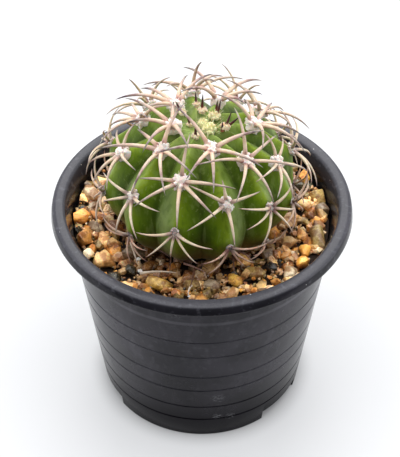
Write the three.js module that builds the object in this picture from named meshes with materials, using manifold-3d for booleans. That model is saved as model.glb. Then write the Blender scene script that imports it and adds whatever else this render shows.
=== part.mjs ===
// Potted round cactus: a twelve-ribbed globe with stars of recurved spines, bedded in gravel in a plastic
// nursery pot. Millimetres, +Z up, origin at the middle of the pot's foot. Needs the npm packages three and
// manifold-3d.
import * as THREE from "three";
import { mergeVertices } from "three/addons/utils/BufferGeometryUtils.js";
import Module from "manifold-3d";

const wasm = await Module();
wasm.setup();

// Pot
const POT_SIDES = 40;
const FOOT_RADIUS = 39.5;
const WALL_TOP_RADIUS = 49.2;
const WALL_TOP = 84;
const WALL = 1.4;
const RIM_RADIUS = 55;
// The rolled rim from the outer wall to the inner one: inward from the rim's edge, and up from the wall's top
const RIM_ROLL = [[1.2, 0.2], [0, 1.3], [0.3, 3.1], [1.7, 3.9], [3.8, 3.9], [5.2, 3]];
const RIM_SHOULDER = 1.5;
const FLOOR_UNDERSIDE = 5;
const FOOT_RING_WIDTH = 3;
const FOOT_NOTCH_ANGLES = [-37.75, 82.25, 202.25];
const FOOT_NOTCH_SPAN = 31.3;
const GROOVE_HEIGHTS = [61.1, 52.1, 39.4, 30.6, 19.6, 11.0];
const GROOVE_DEPTH = 0.5;
const GROOVE_HALF_WIDTH = 0.45;
const DRAIN_COUNT = 6;
const DRAIN_RADIUS = 4;
const DRAIN_CIRCLE = 24;
const DRAIN_SIDES = 10;
const CUT_SPARE = 2;

// Filling
const GAP = 0.3;
const SOIL_TOP = 74.5;
const GRAVEL_BED_TOP = 78.6;
const GRAVEL_CEILING = 83.6;
const PEBBLE_SEED = 4071;
const PEBBLE_TRIES = 1200;
const PEBBLE_SMALL = 3.2;
const PEBBLE_LARGE = 4.8;
const PEBBLE_SPACING = 1.04;
const PEBBLE_INNER_RADIUS = 25;
const PEBBLE_TILT = 0.7;
const PEBBLE_SHOW = 0.4;
const PEBBLE_LIFT = 0.8;
// Least share and spread of a thrown pebble's half length, half width and half height
const PEBBLE_SHAPE = [[0.85, 0.45], [0.75, 0.3], [0.55, 0.3]];
const READ_PEBBLE_RISE = 0.5;
// The pebbles that stand out one by one: middle x and y, length, width, and the heading of the length
const READ_PEBBLES = [
  [-41.4, 11, 9, 5.5, -57],
  [-38, 0, 8, 4, -24],
  [-38.5, -6.5, 6.5, 4, -22],
  [-42, -12, 9, 6.5, 71],
  [-35, -15, 6.5, 4.5, 53],
  [-34.7, -24, 8.5, 6.5, 23],
  [-40.5, -20.5, 5, 4, 42],
  [-24, -20.5, 9.5, 6, 0],
  [-25, -28.5, 5, 4.5, -47],
  [-18.5, -26.5, 8, 4, 47],
  [-10.5, -28, 8, 4, 68],
  [-15, -35.5, 9.5, 5.5, -24],
  [-26.5, -36, 6, 4, -18],
  [-8.5, -40.5, 4.5, 4.2, 0],
  [-5, -32.5, 7, 4, 67],
  [3.5, -36, 8, 4.5, -36],
  [11.5, -33.5, 6, 4.5, -33],
  [10.5, -40, 6, 4, 49],
  [18.5, -30, 8.5, 5, -25],
  [22.5, -38.5, 6.5, 4, 21],
  [24.5, -27.5, 4.2, 4, 0],
  [31, -30.5, 6.5, 5, 43],
  [30, -21.5, 5, 4, 25],
  [35.5, -25, 6.5, 4.5, 55],
  [31, -14.5, 6, 5, 31],
  [37, -18.5, 5.5, 4.5, -67],
  [36, -11, 6.5, 4, -74],
  [42, -13.5, 12, 5.5, -82],
  [42.5, -3.5, 4.5, 4, -22],
  [38.5, 5.5, 5.5, 4.5, -38],
];

// Globe
const GLOBE_RADIUS = 33.9;
const GLOBE_HALF_HEIGHT = 26.2;
const GLOBE_CENTRE = new THREE.Vector3(-0.8, -0.8, 98.9);
const CROWN_LEAN = new THREE.Vector2(-0.4, -2.0);
const CROWN_DIP = 3.2;
const CROWN_DIP_RADIUS = 10;
const FURROW_DEPTH = 3.5;
// The furrows fade out towards both poles: cosine of the latitude where they are gone, and where they are full
const FURROW_FADE = [0.12, 0.5];
const RIB_HEADINGS = [-165, -135, -104, -73, -45, -22, 7, 35, 64, 96, 128, 163];
const COLUMNS_PER_RIB = 5;
const GLOBE_LATITUDES = [90, 82, 74, 66, 58, 50, 41, 31, 21, 11, 0, -11, -22, -33, -43, -53, -64];
// The root below the globe: radius and height of each step
const ROOT_STEPS = [[7.5, 70], [4.6, 62], [2.2, 52], [0, 46]];

// Areoles: one every 36 degrees up a rib, and each rib starts 15 degrees lower than the rib before it
const FIRST_LATITUDE = 39;
const RIB_DROP = 15;
const AREOLE_STEP = 36;
const LOWEST_LATITUDE = -22;
const HIGHEST_LATITUDE = 86;
const OLD_BELOW_LATITUDE = 76;
const YOUNG_AREOLES = ["06_3", "08_3"];
const PAD_LENGTH = 2.3;
const PAD_WIDTH = 1.9;
const PAD_HEIGHT = 1.3;
const PAD_LIFT = 0.5;

// Spines
const SPINE_SEED = 907;
const SPINE_RADIUS = 0.62;
const SPINE_ROOT_LIFT = 0.6;
const SPINE_SIDES = 3;
const SPINE_STEPS = 3;
const SPINE_RISE = 30;
const SPINE_RISE_PER_LATITUDE = 0.12;
const SPINE_BEND = 42;
const CENTRAL_RISE = 62;
const CENTRAL_ABOVE_LATITUDE = 25;
const CENTRAL_CLOCK_SPAN = 120;
const BASE_LENGTH = 13.5;
const LENGTH_PER_LATITUDE = 0.12;
const COMMON_STAR = [-140, -94, -30, 36, 92, 148];
const CLOCK_SPREAD = 14;
const LENGTH_SPREAD = 0.24;
const RISE_SPREAD = 8;
// The stars that can be read off the plant one by one: for each spine its direction in degrees from straight
// up the rib, positive to the right, and its length
const READ_STARS = {
  "01_2": [[-146, 15], [160, 15], [120, 17], [70, 19], [-80, 11], [-25, 13]],
  "01_3": [[-130, 22], [-165, 17], [130, 22], [84, 24], [-72, 11]],
  "02_1": [[-95, 13], [-65, 13], [150, 12], [175, 12], [80, 12]],
  "02_2": [[-82, 15], [-127, 13], [80, 16], [135, 16], [175, 15], [0, 8]],
  "02_3": [[-132, 24], [-82, 13], [-6, 19], [96, 24], [127, 24], [160, 23]],
  "03_1": [[-89, 14], [-138, 15], [-175, 10], [137, 14], [100, 15]],
  "03_2": [[-97, 15], [-10, 18], [90, 21], [126, 20], [171, 18], [-131, 19]],
  "04_1": [[-110, 12], [84, 15], [-152, 14], [169, 13], [134, 14]],
  "04_2": [[-70, 17], [0, 9], [82, 13], [-177, 16], [-109, 18]],
  "04_3": [[-95, 24], [-120, 19], [136, 21], [89, 20], [-163, 22], [-26, 21]],
  "05_2": [[-58, 20], [71, 12], [121, 12], [159, 15], [-134, 14], [-90, 15]],
  "05_3": [[25, 20], [-85, 24], [-119, 21], [-165, 19], [88, 16], [137, 19]],
  "06_2": [[72, 11], [145, 14], [-147, 16], [-104, 18], [-71, 22], [20, 12]],
  "07_3": [[-167, 18], [-108, 23], [-78, 23], [17, 19], [74, 12], [126, 16]],
  "08_2": [[44, 18], [-145, 21], [172, 17], [90, 15], [-95, 16], [-20, 15]],
  "09_3": [[18, 24], [-136, 17], [-157, 23], [115, 23], [-85, 16]],
  "11_3": [[-88, 20], [115, 23], [88, 13], [-140, 18], [165, 18]],
  "12_3": [[164, 13], [-160, 15], [-130, 13], [7, 17], [92, 22], [68, 20]],
};

// Clearance between one star and the next
const RISE_TRIES = [0, 7, 14, 21, 28];
const TURN_TRIES = [0, 6, -6, 12, -12, 18, -18, 24, -24];
const SHORTEN = 0.85;
const SHORTEN_TIMES = 3;
const STAR_GAP = 1.6;
const PAD_CLEARANCE = 3.3;
const PLANT_CLEARANCE = 1.1;

// Crown
const CUSHION_RADIUS = 8;
const CUSHION_HEIGHT = 2.6;
const CUSHION_SHIFT = new THREE.Vector3(1.2, 1, 0.6);
const YOUNG_PAD_SIZE = 0.9;
const YOUNG_PAD_PULL = 0.18;
const YOUNG_CLOCKS = [-40, 35];
const YOUNG_LENGTH = 8;
const YOUNG_RISE = 76;

const radians = THREE.MathUtils.degToRad;

// Park and Miller's generator, so that the same plant grows every time
function seeded(seed) {
  let state = seed;
  return () => {
    state = (state * 16807) % 2147483647;
    return state / 2147483647;
  };
}

function solidOf(geometry) {
  const bare = geometry.clone();
  bare.deleteAttribute("normal");
  bare.deleteAttribute("uv");
  const merged = mergeVertices(bare, 1e-4);
  return new wasm.Manifold(new wasm.Mesh({
    numProp: 3,
    vertProperties: new Float32Array(merged.attributes.position.array),
    triVerts: new Uint32Array(merged.index.array),
  }));
}

function geometryOf(solid) {
  const mesh = solid.getMesh();
  const geometry = new THREE.BufferGeometry();
  geometry.setAttribute("position", new THREE.BufferAttribute(new Float32Array(mesh.vertProperties), 3));
  geometry.setIndex(new THREE.BufferAttribute(new Uint32Array(mesh.triVerts), 1));
  return geometry;
}

// Only the largest body of a solid: trimming can leave a loose scrap, which is dropped
function largestBody(solid) {
  const bodies = solid.decompose();
  return bodies.reduce((best, body) => (body.volume() > best.volume() ? body : best));
}

// A profile of [radius, height] pairs turned round the vertical axis
function turned(profile, sides) {
  const geometry = new THREE.LatheGeometry(profile.map(([r, z]) => new THREE.Vector2(r, z)), sides);
  geometry.rotateX(Math.PI / 2);
  return geometry;
}

function wallRadius(height) {
  return FOOT_RADIUS + (WALL_TOP_RADIUS - FOOT_RADIUS) * height / WALL_TOP;
}

// Pot

function grooveProfile() {
  return [...GROOVE_HEIGHTS].reverse().flatMap((height) => [
    [wallRadius(height - GROOVE_HALF_WIDTH), height - GROOVE_HALF_WIDTH],
    [wallRadius(height) - GROOVE_DEPTH, height],
    [wallRadius(height + GROOVE_HALF_WIDTH), height + GROOVE_HALF_WIDTH],
  ]);
}

function rimProfile() {
  return [
    [WALL_TOP_RADIUS, WALL_TOP],
    ...RIM_ROLL.map(([inward, up]) => [RIM_RADIUS - inward, WALL_TOP + up]),
    [WALL_TOP_RADIUS - WALL, WALL_TOP - RIM_SHOULDER],
  ];
}

function footNotch(angle) {
  const half = radians(FOOT_NOTCH_SPAN / 2);
  const sector = new THREE.Shape();
  sector.absarc(0, 0, FOOT_RADIUS + CUT_SPARE, -half, half, false);
  sector.absarc(0, 0, FOOT_RADIUS - FOOT_RING_WIDTH - CUT_SPARE, half, -half, true);
  sector.closePath();
  const geometry = new THREE.ExtrudeGeometry(sector, {
    depth: FLOOR_UNDERSIDE + CUT_SPARE,
    bevelEnabled: false,
    curveSegments: 4,
  });
  geometry.translate(0, 0, -CUT_SPARE);
  geometry.rotateZ(radians(angle));
  return solidOf(geometry);
}

function drainHole(index) {
  const geometry = new THREE.CylinderGeometry(DRAIN_RADIUS, DRAIN_RADIUS, WALL + 2 * CUT_SPARE, DRAIN_SIDES);
  geometry.rotateX(Math.PI / 2);
  geometry.translate(DRAIN_CIRCLE, 0, FLOOR_UNDERSIDE + WALL / 2);
  geometry.rotateZ(2 * Math.PI * index / DRAIN_COUNT);
  return solidOf(geometry);
}

function potGeometry() {
  const floorTop = FLOOR_UNDERSIDE + WALL;
  const footInner = FOOT_RADIUS - FOOT_RING_WIDTH;
  let pot = solidOf(turned([
    [0, FLOOR_UNDERSIDE],
    [footInner, FLOOR_UNDERSIDE],
    [footInner, 0],
    [FOOT_RADIUS, 0],
    ...grooveProfile(),
    ...rimProfile(),
    [wallRadius(floorTop) - WALL, floorTop],
    [0, floorTop],
  ], POT_SIDES));
  for (const angle of FOOT_NOTCH_ANGLES) {
    pot = pot.subtract(footNotch(angle));
  }
  for (let index = 0; index < DRAIN_COUNT; index += 1) {
    pot = pot.subtract(drainHole(index));
  }
  return geometryOf(pot);
}

// Globe

// A point of the smooth globe over the rib crests, at a latitude and a heading in radians
function crestPoint(heading, latitude, lift = 0) {
  const lean = Math.max(0, Math.sin(latitude)) ** 2;
  const normal = crestNormal(heading, latitude);
  return new THREE.Vector3(
    GLOBE_RADIUS * Math.cos(latitude) * Math.cos(heading) + CROWN_LEAN.x * lean,
    GLOBE_RADIUS * Math.cos(latitude) * Math.sin(heading) + CROWN_LEAN.y * lean,
    GLOBE_HALF_HEIGHT * Math.sin(latitude),
  ).add(GLOBE_CENTRE).addScaledVector(normal, lift);
}

function crestNormal(heading, latitude) {
  return new THREE.Vector3(
    Math.cos(latitude) * Math.cos(heading) / GLOBE_RADIUS,
    Math.cos(latitude) * Math.sin(heading) / GLOBE_RADIUS,
    Math.sin(latitude) / GLOBE_HALF_HEIGHT,
  ).normalize();
}

// How far the surface lies under the crests: across is 0 on a crest and 1 or -1 in a furrow
function furrowDrop(latitude, across) {
  const fade = THREE.MathUtils.smoothstep(Math.cos(latitude), ...FURROW_FADE);
  return FURROW_DEPTH * fade * across * across;
}

function crownDrop(latitude) {
  const reach = GLOBE_RADIUS * Math.cos(latitude) / CROWN_DIP_RADIUS;
  return latitude > 0 && reach < 1 ? CROWN_DIP * (1 - reach * reach) ** 2 : 0;
}

// The heading of column number index, counted round the globe, and where it lies across its rib
function columnPlace(index) {
  const turn = index / COLUMNS_PER_RIB + 0.5;
  const rib = Math.floor(turn);
  const across = 2 * (turn - rib) - 1;
  const count = RIB_HEADINGS.length;
  const here = RIB_HEADINGS[rib % count];
  const before = RIB_HEADINGS[(rib + count - 1) % count];
  const after = RIB_HEADINGS[(rib + 1) % count];
  const step = across < 0 ? here - before : after - here;
  const width = (step + 360) % 360;
  return { heading: radians(here + across * width / 2), across };
}

// The globe with its ribs, its sunken crown and the root neck below. grow swells it all round, to cut
// what lies on it.
function globeSolid(grow) {
  const columns = COLUMNS_PER_RIB * RIB_HEADINGS.length;
  const profile = [
    ...GLOBE_LATITUDES.map((degrees) => [Math.cos(radians(degrees)), Math.sin(radians(degrees))]),
    ...ROOT_STEPS,
  ];
  profile[0][0] = 0;
  const geometry = turned(profile, columns);
  const position = geometry.attributes.position;
  const rows = profile.length;
  for (let index = 0; index < position.count; index += 1) {
    const row = index % rows;
    const column = Math.floor(index / rows) % columns;
    const { heading, across } = columnPlace(column);
    let point;
    if (row < GLOBE_LATITUDES.length) {
      const latitude = radians(GLOBE_LATITUDES[row]);
      const drop = furrowDrop(latitude, across) + crownDrop(latitude) - grow;
      point = crestPoint(heading, latitude, -drop);
      if (row === 0) {
        point = crestPoint(0, Math.PI / 2, grow - CROWN_DIP);
      }
    } else {
      const [radius, height] = ROOT_STEPS[row - GLOBE_LATITUDES.length];
      const tip = radius === 0;
      const reach = tip ? 0 : radius + grow;
      point = new THREE.Vector3(
        GLOBE_CENTRE.x + reach * Math.cos(heading),
        GLOBE_CENTRE.y + reach * Math.sin(heading),
        tip ? height - grow : height,
      );
    }
    position.setXYZ(index, point.x, point.y, point.z);
  }
  const solid = solidOf(geometry);
  return solid.volume() > 0 ? solid : solidOf(flipped(geometry));
}

function flipped(geometry) {
  const turnedOver = geometry.clone();
  const index = turnedOver.index;
  for (let face = 0; face < index.count; face += 3) {
    const first = index.getX(face);
    index.setX(face, index.getX(face + 2));
    index.setX(face + 2, first);
  }
  return turnedOver;
}

// Growing mix and gravel

function fillProfile(bottom, top) {
  return [
    [0, bottom],
    [wallRadius(bottom) - WALL - GAP, bottom],
    [wallRadius(top) - WALL - GAP, top],
    [0, top],
  ];
}

// The read pebbles, then others thrown at random on the bed, each kept only where it lies clear of the rest
function pebblePlaces(random) {
  const places = READ_PEBBLES.map(([x, y, length, width, turn]) => ({
    x,
    y,
    half: [length / 2, width / 2, READ_PEBBLE_RISE * width],
    turn: radians(turn),
  }));
  const outer = wallRadius(GRAVEL_BED_TOP) - WALL - GAP - PEBBLE_SMALL / 2;
  for (let attempt = 0; attempt < PEBBLE_TRIES; attempt += 1) {
    const reach = Math.sqrt(PEBBLE_INNER_RADIUS ** 2 + random() * (outer ** 2 - PEBBLE_INNER_RADIUS ** 2));
    const heading = 2 * Math.PI * random();
    const size = PEBBLE_SMALL + (PEBBLE_LARGE - PEBBLE_SMALL) * random() * random();
    const place = {
      x: reach * Math.cos(heading),
      y: reach * Math.sin(heading),
      half: PEBBLE_SHAPE.map(([least, spread]) => size * (least + spread * random())),
      turn: Math.PI * random(),
    };
    const clear = places.every((other) => {
      const room = place.half[0] + place.half[1] + other.half[0] + other.half[1];
      return Math.hypot(place.x - other.x, place.y - other.y) > PEBBLE_SPACING * room / 2;
    });
    if (clear) {
      places.push(place);
    }
  }
  return places;
}

function pebbleSolid({ x, y, half, turn }, random) {
  const geometry = new THREE.IcosahedronGeometry(1, 0);
  geometry.scale(...half);
  geometry.rotateY(PEBBLE_TILT * (random() - 0.5));
  geometry.rotateZ(turn);
  geometry.translate(x, y, GRAVEL_BED_TOP + PEBBLE_SHOW * half[2] + PEBBLE_LIFT * random());
  return solidOf(geometry);
}

function gravelSolid(cutter) {
  const random = seeded(PEBBLE_SEED);
  const room = solidOf(turned(fillProfile(SOIL_TOP + GAP, GRAVEL_CEILING), POT_SIDES));
  const bed = solidOf(turned(fillProfile(SOIL_TOP + GAP, GRAVEL_BED_TOP), POT_SIDES));
  const pebbles = pebblePlaces(random).map((place) => pebbleSolid(place, random));
  return largestBody(wasm.Manifold.union([bed, ...pebbles]).intersect(room).subtract(cutter));
}

// Areoles and spines

function areoles() {
  const list = [];
  RIB_HEADINGS.forEach((degrees, rib) => {
    let latitude = FIRST_LATITUDE - RIB_DROP * rib;
    while (latitude - AREOLE_STEP > LOWEST_LATITUDE) {
      latitude -= AREOLE_STEP;
    }
    while (latitude < LOWEST_LATITUDE) {
      latitude += AREOLE_STEP;
    }
    for (let row = 1; latitude < HIGHEST_LATITUDE; row += 1) {
      const name = `${String(rib + 1).padStart(2, "0")}_${row}`;
      list.push({ name, heading: radians(degrees), degrees: latitude, latitude: radians(latitude) });
      latitude += AREOLE_STEP;
    }
  });
  return list;
}

function isYoung(areole) {
  return areole.degrees > OLD_BELOW_LATITUDE || YOUNG_AREOLES.includes(areole.name);
}

// The areole's own axes: outward, straight up the rib, and to the right as seen from outside
function areoleAxes({ heading, latitude }) {
  const outward = crestNormal(heading, latitude);
  const up = crestPoint(heading, latitude + 0.01).sub(crestPoint(heading, latitude - 0.01));
  up.addScaledVector(outward, -up.dot(outward)).normalize();
  const right = new THREE.Vector3().crossVectors(up, outward);
  return { foot: crestPoint(heading, latitude), outward, up, right };
}

// The middle line of a spine: it leaves the pad at its rise and bends back towards the globe
function spineLine(axes, clock, rise, bend, length) {
  const along = axes.up.clone().multiplyScalar(Math.cos(radians(clock)));
  along.addScaledVector(axes.right, Math.sin(radians(clock)));
  const points = [axes.foot.clone().addScaledVector(axes.outward, SPINE_ROOT_LIFT)];
  for (let step = 0; step < SPINE_STEPS; step += 1) {
    const slope = radians(rise - bend * (step + 0.5) / SPINE_STEPS);
    const next = points[step].clone().addScaledVector(along, Math.cos(slope) * length / SPINE_STEPS);
    points.push(next.addScaledVector(axes.outward, Math.sin(slope) * length / SPINE_STEPS));
  }
  return points;
}

function pointToLine(point, start, end) {
  const along = end.clone().sub(start);
  const part = THREE.MathUtils.clamp(point.clone().sub(start).dot(along) / along.lengthSq(), 0, 1);
  return point.distanceTo(start.clone().addScaledVector(along, part));
}

// Least distance between two middle lines, taken at points along each of them
function lineGap(one, other) {
  let least = Infinity;
  for (let a = 1; a < one.length; a += 1) {
    for (let b = 1; b < other.length; b += 1) {
      for (const part of [0.25, 0.5, 0.75, 1]) {
        const from = one[a - 1].clone().lerp(one[a], part);
        const to = other[b - 1].clone().lerp(other[b], part);
        least = Math.min(
          least,
          pointToLine(from, other[b - 1], other[b]),
          pointToLine(to, one[a - 1], one[a]),
        );
      }
    }
  }
  return least;
}

// Outside the globe and above the gravel, away from the root of the spine
function clearOfPlant(line) {
  return line.slice(1).every((point) => {
    const away = point.clone().sub(GLOBE_CENTRE);
    const across = Math.hypot(away.x, away.y) / (GLOBE_RADIUS + PLANT_CLEARANCE);
    const high = away.z / (GLOBE_HALF_HEIGHT + PLANT_CLEARANCE);
    return Math.hypot(across, high) > 1 && point.z > GRAVEL_CEILING + PLANT_CLEARANCE;
  });
}

function clearOfStars(line, stars) {
  return stars.every((star) => {
    const padClear = line.slice(1).every((point, step) => (
      pointToLine(star.foot, line[step], point) > PAD_CLEARANCE
    ));
    return padClear && star.lines.every((other) => lineGap(line, other) > STAR_GAP);
  });
}

// The wished spine, or the nearest one to it that runs clear of the stars before it
function fittedLine(axes, wish, stars) {
  for (let cut = 0; cut <= SHORTEN_TIMES; cut += 1) {
    const length = wish.length * SHORTEN ** cut;
    for (const lift of RISE_TRIES) {
      for (const turn of TURN_TRIES) {
        const line = spineLine(axes, wish.clock + turn, wish.rise + lift, SPINE_BEND, length);
        if (clearOfPlant(line) && clearOfStars(line, stars)) {
          return line;
        }
      }
    }
  }
  return null;
}

function wishedStar(areole, random) {
  const rise = SPINE_RISE + SPINE_RISE_PER_LATITUDE * Math.max(0, areole.degrees);
  const read = READ_STARS[areole.name];
  if (read) {
    return read.map(([clock, length]) => ({ clock, length, rise }));
  }
  const usual = BASE_LENGTH + LENGTH_PER_LATITUDE * areole.degrees;
  const star = COMMON_STAR.map((clock) => ({
    clock: clock + CLOCK_SPREAD * (random() - 0.5),
    length: usual * (1 + LENGTH_SPREAD * (random() - 0.5)),
    rise: rise + RISE_SPREAD * (random() - 0.5),
  }));
  if (areole.degrees > CENTRAL_ABOVE_LATITUDE) {
    star.push({ clock: CENTRAL_CLOCK_SPAN * (random() - 0.5), length: usual, rise: CENTRAL_RISE });
  }
  return star;
}

function growStars() {
  const random = seeded(SPINE_SEED);
  const stars = [];
  const grown = areoles().filter((areole) => !isYoung(areole));
  const feet = grown.map(({ heading, latitude }) => ({
    foot: crestPoint(heading, latitude, SPINE_ROOT_LIFT),
    lines: [],
  }));
  grown.forEach((areole, place) => {
    const axes = areoleAxes(areole);
    const others = feet.filter((star, index) => index !== place);
    const lines = wishedStar(areole, random)
      .map((wish) => fittedLine(axes, wish, others))
      .filter((line) => line);
    feet[place].lines = lines;
    stars.push({ name: areole.name, axes, lines });
  });
  return stars;
}

// A three-sided needle along its middle line, from a cone whose rings are moved onto the line
function needle(line) {
  const geometry = new THREE.ConeGeometry(SPINE_RADIUS, SPINE_STEPS, SPINE_SIDES, SPINE_STEPS);
  const position = geometry.attributes.position;
  for (let index = 0; index < position.count; index += 1) {
    const ring = Math.round(position.getY(index) + SPINE_STEPS / 2);
    const from = line[Math.max(0, ring - 1)];
    const to = line[Math.min(SPINE_STEPS, ring + 1)];
    const turn = new THREE.Quaternion().setFromUnitVectors(
      new THREE.Vector3(0, 1, 0),
      to.clone().sub(from).normalize(),
    );
    const offset = new THREE.Vector3(position.getX(index), 0, position.getZ(index)).applyQuaternion(turn);
    offset.add(line[ring]);
    position.setXYZ(index, offset.x, offset.y, offset.z);
  }
  return solidOf(geometry);
}

function padSolid({ foot, outward, up, right }, size = 1) {
  const geometry = new THREE.IcosahedronGeometry(1, 0);
  geometry.scale(PAD_WIDTH * size, PAD_LENGTH * size, PAD_HEIGHT * size);
  geometry.applyMatrix4(new THREE.Matrix4().makeBasis(right, up, outward).setPosition(foot));
  geometry.translate(outward.x * PAD_LIFT, outward.y * PAD_LIFT, outward.z * PAD_LIFT);
  return solidOf(geometry);
}

function starGeometry(star, cutter) {
  const needles = star.lines.map(needle);
  const whole = wasm.Manifold.union([padSolid(star.axes), ...needles]);
  return geometryOf(largestBody(whole.subtract(cutter)));
}

// The crown: a low cushion of wool in the dip, with the young areoles and their short dark spines round it
function crownGeometry(cutter, stars) {
  const centre = crestPoint(0, Math.PI / 2, -CROWN_DIP);
  const cushion = new THREE.SphereGeometry(1, 8, 4);
  cushion.rotateX(Math.PI / 2);
  cushion.scale(CUSHION_RADIUS, CUSHION_RADIUS, CUSHION_HEIGHT);
  cushion.translate(...centre.clone().add(CUSHION_SHIFT));
  const pieces = [solidOf(cushion)];
  const others = stars.map((star) => ({ foot: star.axes.foot, lines: star.lines }));
  for (const areole of areoles().filter(isYoung)) {
    const axes = areoleAxes(areole);
    axes.foot.lerp(centre, YOUNG_PAD_PULL);
    pieces.push(padSolid(axes, YOUNG_PAD_SIZE));
    for (const clock of YOUNG_CLOCKS) {
      const line = fittedLine(axes, { clock, length: YOUNG_LENGTH, rise: YOUNG_RISE }, others);
      if (line) {
        pieces.push(needle(line));
      }
    }
  }
  return geometryOf(largestBody(wasm.Manifold.union(pieces).subtract(cutter)));
}

// The whole object

function piece(name, geometry, color, roughness) {
  const mesh = new THREE.Mesh(geometry, new THREE.MeshStandardMaterial({ color, roughness, metalness: 0 }));
  mesh.name = name;
  return mesh;
}

const cutter = globeSolid(GAP);
const stars = growStars();
const soil = solidOf(turned(fillProfile(FLOOR_UNDERSIDE + WALL + GAP, SOIL_TOP), POT_SIDES)).subtract(cutter);

const pottedCactus = new THREE.Group();
pottedCactus.add(piece("pot", potGeometry(), 0x232326, 0.45));
pottedCactus.add(piece("growing_mix", geometryOf(soil), 0x2b2119, 1));
pottedCactus.add(piece("gravel", geometryOf(gravelSolid(cutter)), 0xb08a55, 0.7));
pottedCactus.add(piece("cactus_body", geometryOf(globeSolid(0)), 0x4f7a2c, 0.5));
for (const star of stars) {
  pottedCactus.add(piece(`spines_rib${star.name}`, starGeometry(star, cutter), 0xdcc9b0, 0.55));
}
pottedCactus.add(piece("crown_wool", crownGeometry(cutter, stars), 0xd9cf9a, 0.9));

export default pottedCactus;
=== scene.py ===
# %% [markdown]
# A potted round cactus, modelled and finished in Blender
#
# The plant is a green globe of twelve ribs. On each rib sit woolly pads, and out of each pad springs a star
# of curved spines. It stands in ochre gravel in a black nursery pot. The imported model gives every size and
# place, and this lesson dresses it: each step says what the piece is, how it could be made, and why this
# way was chosen.

# %% Load the frame
import math

import bmesh
import bpy
import numpy as np
from mathutils import Matrix, Vector, noise


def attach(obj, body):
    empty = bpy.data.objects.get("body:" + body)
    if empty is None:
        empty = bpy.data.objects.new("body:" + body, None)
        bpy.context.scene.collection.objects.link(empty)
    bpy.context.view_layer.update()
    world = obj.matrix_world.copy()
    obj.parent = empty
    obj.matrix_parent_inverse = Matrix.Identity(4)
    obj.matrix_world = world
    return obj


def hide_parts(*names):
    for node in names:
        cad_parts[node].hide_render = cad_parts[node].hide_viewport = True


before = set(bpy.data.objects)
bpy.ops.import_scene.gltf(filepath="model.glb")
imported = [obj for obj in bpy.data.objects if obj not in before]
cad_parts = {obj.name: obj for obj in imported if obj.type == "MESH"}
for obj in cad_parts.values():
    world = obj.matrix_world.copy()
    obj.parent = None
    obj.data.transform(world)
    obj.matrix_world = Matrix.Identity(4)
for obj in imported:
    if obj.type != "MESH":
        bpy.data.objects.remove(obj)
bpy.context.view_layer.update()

# %% [markdown]
# Helpers for the meshes
#
# All sizes are written in millimetres and multiplied by MM as they become vertices. The plant's own rule
# draws its random numbers by a multiplication and a remainder, so the same is done here, and every run is
# the same.

# %% Mesh helpers
MM = 0.001
WELD_DISTANCE = 0.0002
DRAW_FACTOR = 16807
DRAW_LIMIT = 2147483647


def seeded(seed):
    """Random numbers from 0 to 1, the same on every run"""
    state = seed
    while True:
        state = state * DRAW_FACTOR % DRAW_LIMIT
        yield state / DRAW_LIMIT


def spread(draw, low, high):
    """The next random number between low and high"""
    return low + (high - low) * next(draw)


def srgb(red, green, blue):
    """A colour given on the 0 to 255 scale, as the linear colour that shaders use"""
    linear = [(value / 255 / 12.92) if value <= 10 else ((value / 255 + 0.055) / 1.055) ** 2.4
              for value in (red, green, blue)]
    return (*linear, 1.0)


def add_copy(whole, part):
    """Adds the small mesh `part` to the mesh `whole`"""
    scratch = bpy.data.meshes.new("scratch")
    part.to_mesh(scratch)
    whole.from_mesh(scratch)
    bpy.data.meshes.remove(scratch)


def make_piece(name, bm, material, nodes, sharp_degrees, values=None):
    """Turns a bmesh into a piece that rides with the pot, stands for its nodes and carries vertex values"""
    for edge in bm.edges:
        edge.smooth = edge.calc_face_angle(0.0) < math.radians(sharp_degrees)
    for face in bm.faces:
        face.smooth = True
    mesh = bpy.data.meshes.new(name)
    bm.to_mesh(mesh)
    bm.free()
    for key, column in (values or {}).items():
        is_colour = np.ndim(column) == 2
        kind = "FLOAT_COLOR" if is_colour else "FLOAT"
        attribute = mesh.attributes.new(key, kind, "POINT")
        field = "color" if is_colour else "value"
        attribute.data.foreach_set(field, np.asarray(column, np.float32).ravel())
    mesh.materials.append(material)
    piece = bpy.data.objects.new(name, mesh)
    bpy.context.scene.collection.objects.link(piece)
    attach(piece, "root")
    if nodes:
        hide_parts(*nodes)
    triangles = sum(len(polygon.vertices) - 2 for polygon in mesh.polygons)
    print(f"{name}: {triangles} triangles")
    return piece


def spin_profile(profile, steps):
    """A profile of (radius, height) pairs in millimetres turned once round the vertical axis"""
    bm = bmesh.new()
    line = [bm.verts.new((radius * MM, 0.0, height * MM)) for radius, height in profile]
    edges = [bm.edges.new(pair) for pair in zip(line, line[1:])]
    bmesh.ops.spin(
        bm, geom=line + edges, cent=(0, 0, 0), axis=(0, 0, 1), dvec=(0, 0, 0),
        angle=2 * math.pi, steps=steps, use_merge=True,
    )
    bmesh.ops.remove_doubles(bm, verts=bm.verts, dist=WELD_DISTANCE * MM)
    bmesh.ops.recalc_face_normals(bm, faces=bm.faces)
    return bm


print("Mesh helpers ready")

# %% [markdown]
# Helpers for the materials
#
# A material is a small network. The helpers below add one node at a time and link whatever is passed in, so
# that each material further down reads like a recipe. Patterns follow Object coordinates, which never
# slide.

# %% Material helpers


def add_node(tree, kind, inputs=None, **settings):
    """Adds a node, sets its options, and links or sets its inputs"""
    node = tree.nodes.new(kind)
    for name, value in settings.items():
        setattr(node, name, value)
    for name, value in (inputs or {}).items():
        if isinstance(value, bpy.types.NodeSocket):
            tree.links.new(value, node.inputs[name])
        else:
            node.inputs[name].default_value = value
    return node


def mix_colours(tree, factor, first, second, blend="MIX"):
    """Mixes two colours, each a socket or a colour, by a factor"""
    inputs = {0: factor, 6: first, 7: second}
    return add_node(tree, "ShaderNodeMix", inputs, data_type="RGBA", blend_type=blend).outputs[2]


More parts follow.
